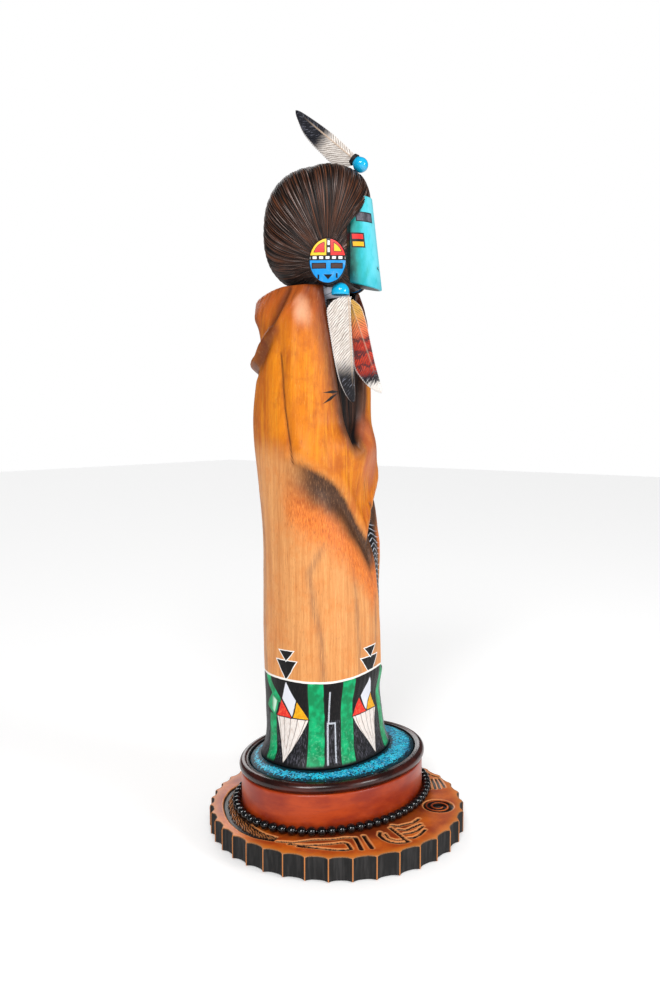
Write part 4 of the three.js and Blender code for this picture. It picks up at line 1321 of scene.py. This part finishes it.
def mask_finish():
    f = Finish("painted mask", 0.38)
    x, y = f.uv()
    angle = (x - 0.5) * 360
    z = y * 400
    place = f.place()
    side = abs(angle)
    mottle = f.noise(f.stretch(place, (1, 1, 0.5)), 220, 4, 0.65)
    soft = side + (mottle - 0.5) * 46
    # Lighter cyan at the front turns greener toward the sides and dark by the hair, this dark edge being
    # painted shade; the darker blue toward the bottom is painted shade too.
    color = f.mix(f.span(soft, 8, 50), rgb(110, 206, 220), rgb(52, 182, 196))
    color = f.mix(f.span(soft, 44, 74), color, rgb(10, 146, 140))
    color = f.mix(f.span(soft, 70, 88), color, rgb(6, 60, 56))
    color = f.mix(f.span(mottle, 0.5, 0.72) * 0.35, color, rgb(24, 160, 144))
    color = f.mix(f.span(z, 300, 291) * 0.4, color, rgb(0, 150, 170))
    point = f.join(angle * 0.218, z)
    for s in (-1, 1):
        def rect(a, b, low, high):
            a, b = s * a * 0.218, s * b * 0.218
            return [[a, low], [b, low], [b, high], [a, high]]

        slate = f.mix(f.span(mottle, 0.4, 0.65), rgb(52, 50, 58), rgb(98, 96, 106))
        color = fill(f, color, patch(f, point, rect(17, 62, 325, 329)), slate, 0.55, 0.08)
        color = fill(f, color, patch(f, point, rect(51, 78, 315.4, 317.9)), rgb(218, 38, 34), 0.75, 0.08)
        color = fill(f, color, patch(f, point, rect(51, 78, 311.7, 314)), rgb(232, 172, 14), 0.75, 0.08)
    mouth = patch(f, point, [[-2, 301.2], [0, 299.8], [2, 301.2], [0, 302.6]])
    color = f.mix(f.span(mouth, -0.05, 0.15), color, rgb(10, 16, 18))
    color = f.mix(f.span(f.value("under"), 0.02, 0.12), color, rgb(38, 20, 16))
    f.relief(mottle, 0.25, 0.2)
    return f.done(color, 0.3 + mottle * 0.2)


def ear_finish():
    f = Finish("painted ear disc", 0.35)
    x, y = f.uv()
    u = (x - 0.5) * 24
    v = (y - 0.5) * 24
    place = f.place()
    wobble = f.noise(place, 500, 2) - 0.5
    u = u + wobble * 0.35
    v = v + wobble * -0.3
    point = f.join(u, v)
    brushed = f.group(BRUSH, place=place, color=rgb(6, 140, 214), spread=1.4)
    color = brushed["Color"]
    yellow, red = rgb(246, 190, 26), rgb(228, 44, 40)

    def box(x0, x1, y0, y1):
        return [[x0, y0], [x1, y0], [x1, y1], [x0, y1]]

    rim = f.math("SQRT", f.math("POWER", u / 10, 2) + f.math("POWER", v / 11.8, 2))
    upper = f.span(v, 2.4, 2.6)
    left = fill(f, yellow, patch(f, point, box(-12, -1.9, 4.4, 12)) & (0.8 - rim) * 10, red, 0.35, 0.1)
    right = fill(f, red, patch(f, point, box(3.4, 12, 4.8, 12)) & (0.82 - rim) * 10, yellow, 0.35, 0.1)
    halves = f.mix(f.span(u, 0.35, 0.45), left, right)
    color = f.mix(upper, color, halves)
    # Black lines with white dots divide the disc.
    bars = f.between(v, 0.1, 2.7, 0.1) | f.between(u, -0.7, 1.6, 0.1) * f.span(v, 1, 1.2)
    color = f.mix(bars, color, rgb(16, 12, 14))
    dots = abs((u / 3.4 + 0.5) % 1 - 0.5)
    across = f.span(dots, 0.34, 0.26) * f.between(v, 0.8, 2.1, 0.2)
    dots = abs(v / 3.6 % 1 - 0.5)
    down = f.span(dots, 0.36, 0.28) * f.between(u, 0, 1.1, 0.15) * f.span(v, 3.4, 3.7)
    color = f.mix(across | down, color, rgb(240, 240, 238))
    for corners in (box(-8, -1.2, -3.7, -1.6), box(2, 7.6, -3.7, -1.6)):
        color = fill(f, color, patch(f, point, corners), rgb(70, 50, 48), 0.45, 0.08)
    mouth = [[-2.2, -7], [2.6, -7], [0.2, -9.6]]
    for corners in (mouth, box(-5.4, -4.4, -9.4, -7), box(4.3, 5.3, -8.8, -6.4)):
        color = f.mix(f.span(patch(f, point, corners), -0.1, 0.15), color, rgb(14, 12, 16))
    color = f.mix(f.span(rim, 0.93, 0.95), color, rgb(14, 12, 14))
    f.relief(brushed["Height"], 0.3, 0.15)
    return f.done(color)


def scarf_finish():
    f = Finish("scarf paint", 0.55)
    brushed = f.group(BRUSH, place=f.place(), color=rgb(206, 206, 216), spread=1.8)
    x, y = f.uv()
    # Dark lines along the folds are painted shade in their creases.
    fold = abs(f.math("SINE", y * 240 + x * 30))
    color = f.mix(f.span(fold, 0.25, 0.02) * 0.8, brushed["Color"], rgb(40, 40, 46))
    return f.done(color)


def bead_finish(name, color):
    f = Finish(name, 0.16)
    brushed = f.group(BRUSH, place=f.place(), color=color, spread=0.7)
    f.coat(0.4)
    return f.done(brushed["Color"])


def feather_finish(name, vane, tip_color, tip_from, tip_to, white_tip=False):
    """Barbs slant back from the quill; the tip is dark, and the red one ends in white."""
    f = Finish(name, 0.55, gloss=0.3)
    x, y = f.uv()
    side = (x - 0.5) * 20
    run = y * 60
    reach = f.value("reach")
    off = abs(side)
    bend = f.noise(f.place(), 150, 2, 0.5) - 0.5
    slant = run - off * 1.1 + bend * 3
    hair = f.noise(f.join(off * 0.35, 0, slant * 2), 1, 2, 0.6)
    line = abs(slant * 0.62 % 1 - 0.5)
    line = f.span(line, 0.2, 0.08) * f.span(hair, 0.38, 0.56)
    color = vane(f, reach, hair)
    color = f.mix(line * 0.9, color, rgb(70, 46, 34))
    ragged = reach + (hair - 0.5) * 0.26
    dark = f.mix(f.span(hair, 0.56, 0.72) * 0.8, tip_color, rgb(140, 142, 156))
    color = f.mix(f.span(ragged, tip_from, tip_to), color, dark)
    if white_tip:
        color = f.mix(f.span(ragged, 0.84, 0.9), color, rgb(220, 214, 208))
    color = f.mix(f.span(f.value("rim"), 0.9, 0.97) * 0.6, color, rgb(220, 214, 210))
    quill, strength = f.span(off, 0.5, 0.25), 0.35 if white_tip else 0.8
    color = f.mix(quill * f.span(reach, 0.9, 0.5) * strength, color, rgb(190, 166, 144))
    f.relief(line * -0.8 + hair, 0.6, 0.3)
    return f.done(color)


def white_vane(f, reach, hair):
    return f.mix(f.span(hair, 0.34, 0.6), rgb(176, 164, 154), rgb(228, 221, 214))


def red_vane(f, reach, hair):
    gold = f.mix(hair, rgb(150, 104, 40), rgb(236, 186, 92))
    red = f.mix(f.span(hair, 0.35, 0.65), rgb(140, 24, 14), rgb(208, 64, 38))
    color = f.mix(f.span(reach, 0.1, 0.32), gold, rgb(214, 112, 70))
    color = f.mix(f.span(reach, 0.3, 0.46), color, red)
    drift = f.noise(f.place(), 160, 2)
    bars = f.math("SINE", reach * 46 + (hair * 8 + drift * 9))
    dark = f.span(bars, 0.4, 0.85) * f.between(reach, 0.34, 0.76, 0.04)
    return f.mix(dark * 0.85, color, rgb(38, 28, 40))


def base_finish():
    f = Finish("carved base", 0.42)
    place = f.place()
    ring = f.value("ring")
    grain = f.group(GRAIN, along=f.stretch(place, (400, 90, 400)))
    mottle = f.noise(place, 70, 4, 0.6)
    top = f.mix(f.span(mottle, 0.35, 0.68), rgb(158, 60, 14), rgb(202, 98, 22))
    top = f.mix(f.span(grain["Streak"], 0.55, 0.75) * 0.3, top, rgb(150, 66, 26))
    inner = f.span(ring + mottle * 12, 66, 50)
    top = f.mix(inner * 0.75, top, rgb(96, 34, 16))
    top = f.mix(f.span(ring, 63, 69) * 0.6, top, rgb(222, 134, 48))
    cut_color = f.mix(f.span(mottle, 0.4, 0.7), rgb(8, 5, 6), rgb(36, 14, 10))
    top = f.mix(f.span(f.value("carved"), 0.08, 0.3), top, cut_color)
    top = f.mix(f.value("lip") * 0.9, top, rgb(228, 152, 92))
    dust = f.noise(f.stretch(place, (500, 500, 60)), 1, 3, 0.6)
    coal = f.mix(f.span(dust, 0.4, 0.75), rgb(16, 15, 15), rgb(42, 40, 40))
    flute = f.value("flute")
    color = f.mix(f.span(flute, 0.35, 0.6), top, coal)
    fleck = f.span(f.noise(place, 1500, 2, 0.7), 0.3, 0.5)
    color = f.mix(f.value("arris") * fleck * 0.65, color, rgb(172, 120, 76))
    f.relief(grain["Height"] * 0.6 + mottle * 0.5, 0.4, 0.2)
    rough = 0.36 + flute * 0.35
    return f.done(color, rough)


def drum_finish():
    f = Finish("stained drum", 0.34)
    place = f.place()
    grain = f.group(GRAIN, along=f.stretch(place, (60, 60, 900)))
    height = f.wire("ShaderNodeSeparateXYZ", {0: place}, 2)
    mottle = f.noise(f.stretch(place, (1, 1, 2.5)), 45, 4, 0.6)
    color = f.mix(f.span(mottle, 0.3, 0.7), rgb(134, 34, 6), rgb(174, 62, 12))
    color = f.mix(f.span(grain["Streak"], 0.52, 0.72) * 0.35, color, rgb(132, 44, 20))
    color = f.mix(grain["Pore"] * 0.22, color, rgb(110, 36, 18))
    low = f.span(height + mottle * 0.006, 0.0225, 0.0145)
    color = f.mix(low * 0.7, color, rgb(84, 28, 16))
    f.coat(0.15)
    f.relief(grain["Height"], 0.3, 0.15)
    return f.done(color, 0.3 + mottle * 0.14)


def rim_finish():
    f = Finish("dark polished rim", 0.18)
    place = f.place()
    mottle = f.noise(f.stretch(place, (1, 1, 3)), 60, 4, 0.6)
    color = f.mix(f.span(mottle, 0.35, 0.7), rgb(30, 8, 6), rgb(72, 22, 12))
    # The inner side of the rim, down into the groove by the ground, is near black as painted shade.
    color = f.mix(f.span(f.value("out"), -2.4, -3.8), color, rgb(10, 6, 6))
    color = f.mix(f.span(mottle, 0.6, 0.75) * 0.3, color, rgb(120, 56, 36))
    f.coat(0.25)
    f.relief(mottle, 0.12, 0.2)
    return f.done(color, 0.2 + mottle * 0.16)


def ground_finish():
    f = Finish("stippled ground", 0.5)
    place = f.place()
    out, foot = f.value("out"), f.value("foot")
    fine = f.noise(place, 1050, 1, 0.6)
    cluster = f.noise(place, 230, 3, 0.6)
    color = f.mix(f.span(cluster, 0.35, 0.65), rgb(2, 132, 178), rgb(16, 196, 226))
    flecks = f.span(f.noise(place, 1100, 2, 0.7, 1), 0.54, 0.64)
    middle = f.between(out, -12, -7.4, 1.6)
    color = f.mix(flecks * (0.3 + middle * 0.5), color, rgb(150, 228, 240))
    # Black stipple thickens toward the rim, and also at the robe's foot, where the robe stands on the ground,
    # as painted shade.
    edges = f.span(out, -8.2, -5.4) | f.span(foot, 3, 0.4)
    black = f.span(fine + edges * 0.3, 0.55, 0.6)
    color = f.mix(black * 0.94, color, rgb(5, 8, 14))
    f.relief(fine + cluster, 0.5, 0.3)
    return f.done(color)


def black_bead_finish():
    f = Finish("black bead", 0.2, gloss=0.5)
    mottle = f.noise(f.place(), 300, 2)
    f.coat(0.3, 0.1)
    color = f.mix(mottle, rgb(2, 2, 3), rgb(8, 9, 13))
    return f.done(color, 0.12 + mottle * 0.12)


def binding_finish():
    f = Finish("black binding", 0.5)
    wraps = f.noise(f.stretch(f.place(), (600, 600, 2600)), 1, 2)
    f.relief(wraps, 0.6, 0.2)
    return f.done(f.mix(wraps, rgb(12, 10, 12), rgb(40, 36, 38)))


# ---------------------------------------------------------------- putting it together
make_camera()
make_stage()
make_lamp("key light", "SUN", (-0.95, -0.45, 0.85), 1.55, 20)
make_lamp("fill light", "SUN", (0.1, -1.2, 0.5), 0.38, 30)
make_lamp("back light", "SUN", (0.7, 0.9, 0.7), 0.6, 30)
make_lamp("softbox over the front", "AREA", (-0.75, -0.75, 0.95), 5, 0.35)
make_lamp("softbox at the side", "AREA", (0.15, -0.95, 0.45), 2.4, 0.25)

finishes = {
    "robe": robe_finish(), "hem": hem_finish(), "hair": hair_finish(), "hank": hank_finish(),
    "mask": mask_finish(), "ear": ear_finish(), "scarf": scarf_finish(),
    "stone": bead_finish("turquoise bead", rgb(10, 168, 216)), "base": base_finish(),
    "drum": drum_finish(), "rim": rim_finish(), "ground": ground_finish(), "jet": black_bead_finish(),
    "binding": binding_finish(),
    "white": feather_finish("white feather", white_vane, rgb(18, 17, 22), 0.56, 0.76),
    "crown": feather_finish("crown feather", white_vane, rgb(12, 13, 24), 0.38, 0.56),
    "red": feather_finish("red feather", red_vane, rgb(24, 20, 28), 0.72, 0.8, white_tip=True),
}

paint_hem(settle(make_robe(), finishes["robe"], "figure"), finishes["hem"])
for make, finish in ((make_hair, "hair"), (make_mask, "mask"), (make_neck, "scarf"), (make_hank, "hank")):
    settle(make(), finishes[finish], "figure")
for hand, side in (("right", -1), ("left", 1)):
    settle(make_ear_disc(f"{hand}_ear_disc", side), finishes["ear"], f"ear_disc_{hand}")

look = (-0.788, -0.616, 0)


def at(x, y, z):
    """A spot given from the body's axis."""
    return FIGURE[0] + x, FIGURE[1] + y, z


settle(make_feather("white_blade", at(-11.2, -23.6, 284.6), at(-7.7, -24.4, 230.6), look, WHITE_BLADE),
       finishes["white"], "white_feather")
settle(make_feather("red_blade", at(-6.4, -21, 283.4), at(8.4, -30.8, 235.6), look, RED_BLADE),
       finishes["red"], "red_feather")

head = head_matrix()
crown_root, crown_tip = Vector((0, -21, 36.2)), Vector((0, 12.2, 64.9))
crown_along = (crown_tip - crown_root).normalized()
crown = make_feather("crown_blade", crown_root, crown_tip, (-1, 0, 0), CROWN_BLADE)
move_points(crown, head)
settle(crown, finishes["crown"], "crown_feather")
bead = make_bead("crown_stone", 4, 7.4)
turn = (-crown_along).to_track_quat("Z", "Y").to_matrix().to_4x4()
move_points(bead, head @ Matrix.Translation((crown_root - crown_along * 0.3) * MM) @ turn)
settle(bead, finishes["stone"], "crown_bead")
binding = make_binding(2.2, 3.2)
turn = Matrix((Vector((-1, 0, 0)), crown_along.cross(Vector((-1, 0, 0))), crown_along)).transposed().to_4x4()
move_points(binding, head @ Matrix.Translation(crown_root * MM) @ turn)
settle(binding, finishes["binding"], "crown_feather")
bead = make_bead("neck_stone", 4.7, 6.2)
move_points(bead, Matrix.Translation(Vector(at(-11.9, -18.9, 285.8)) * MM))
settle(bead, finishes["stone"], "neck_bead")

settle(make_oval("drum", drum_rings()), finishes["drum"], "plinth_drum")
settle(make_oval("rim", rim_rings()), finishes["rim"], "plinth_rim")
settle(mark_foot(make_oval("ground", ground_rings())), finishes["ground"], "ground_disc")
settle(make_bead_string(), finishes["jet"], "bead_string")
settle(make_base(), finishes["base"], "base_disc")
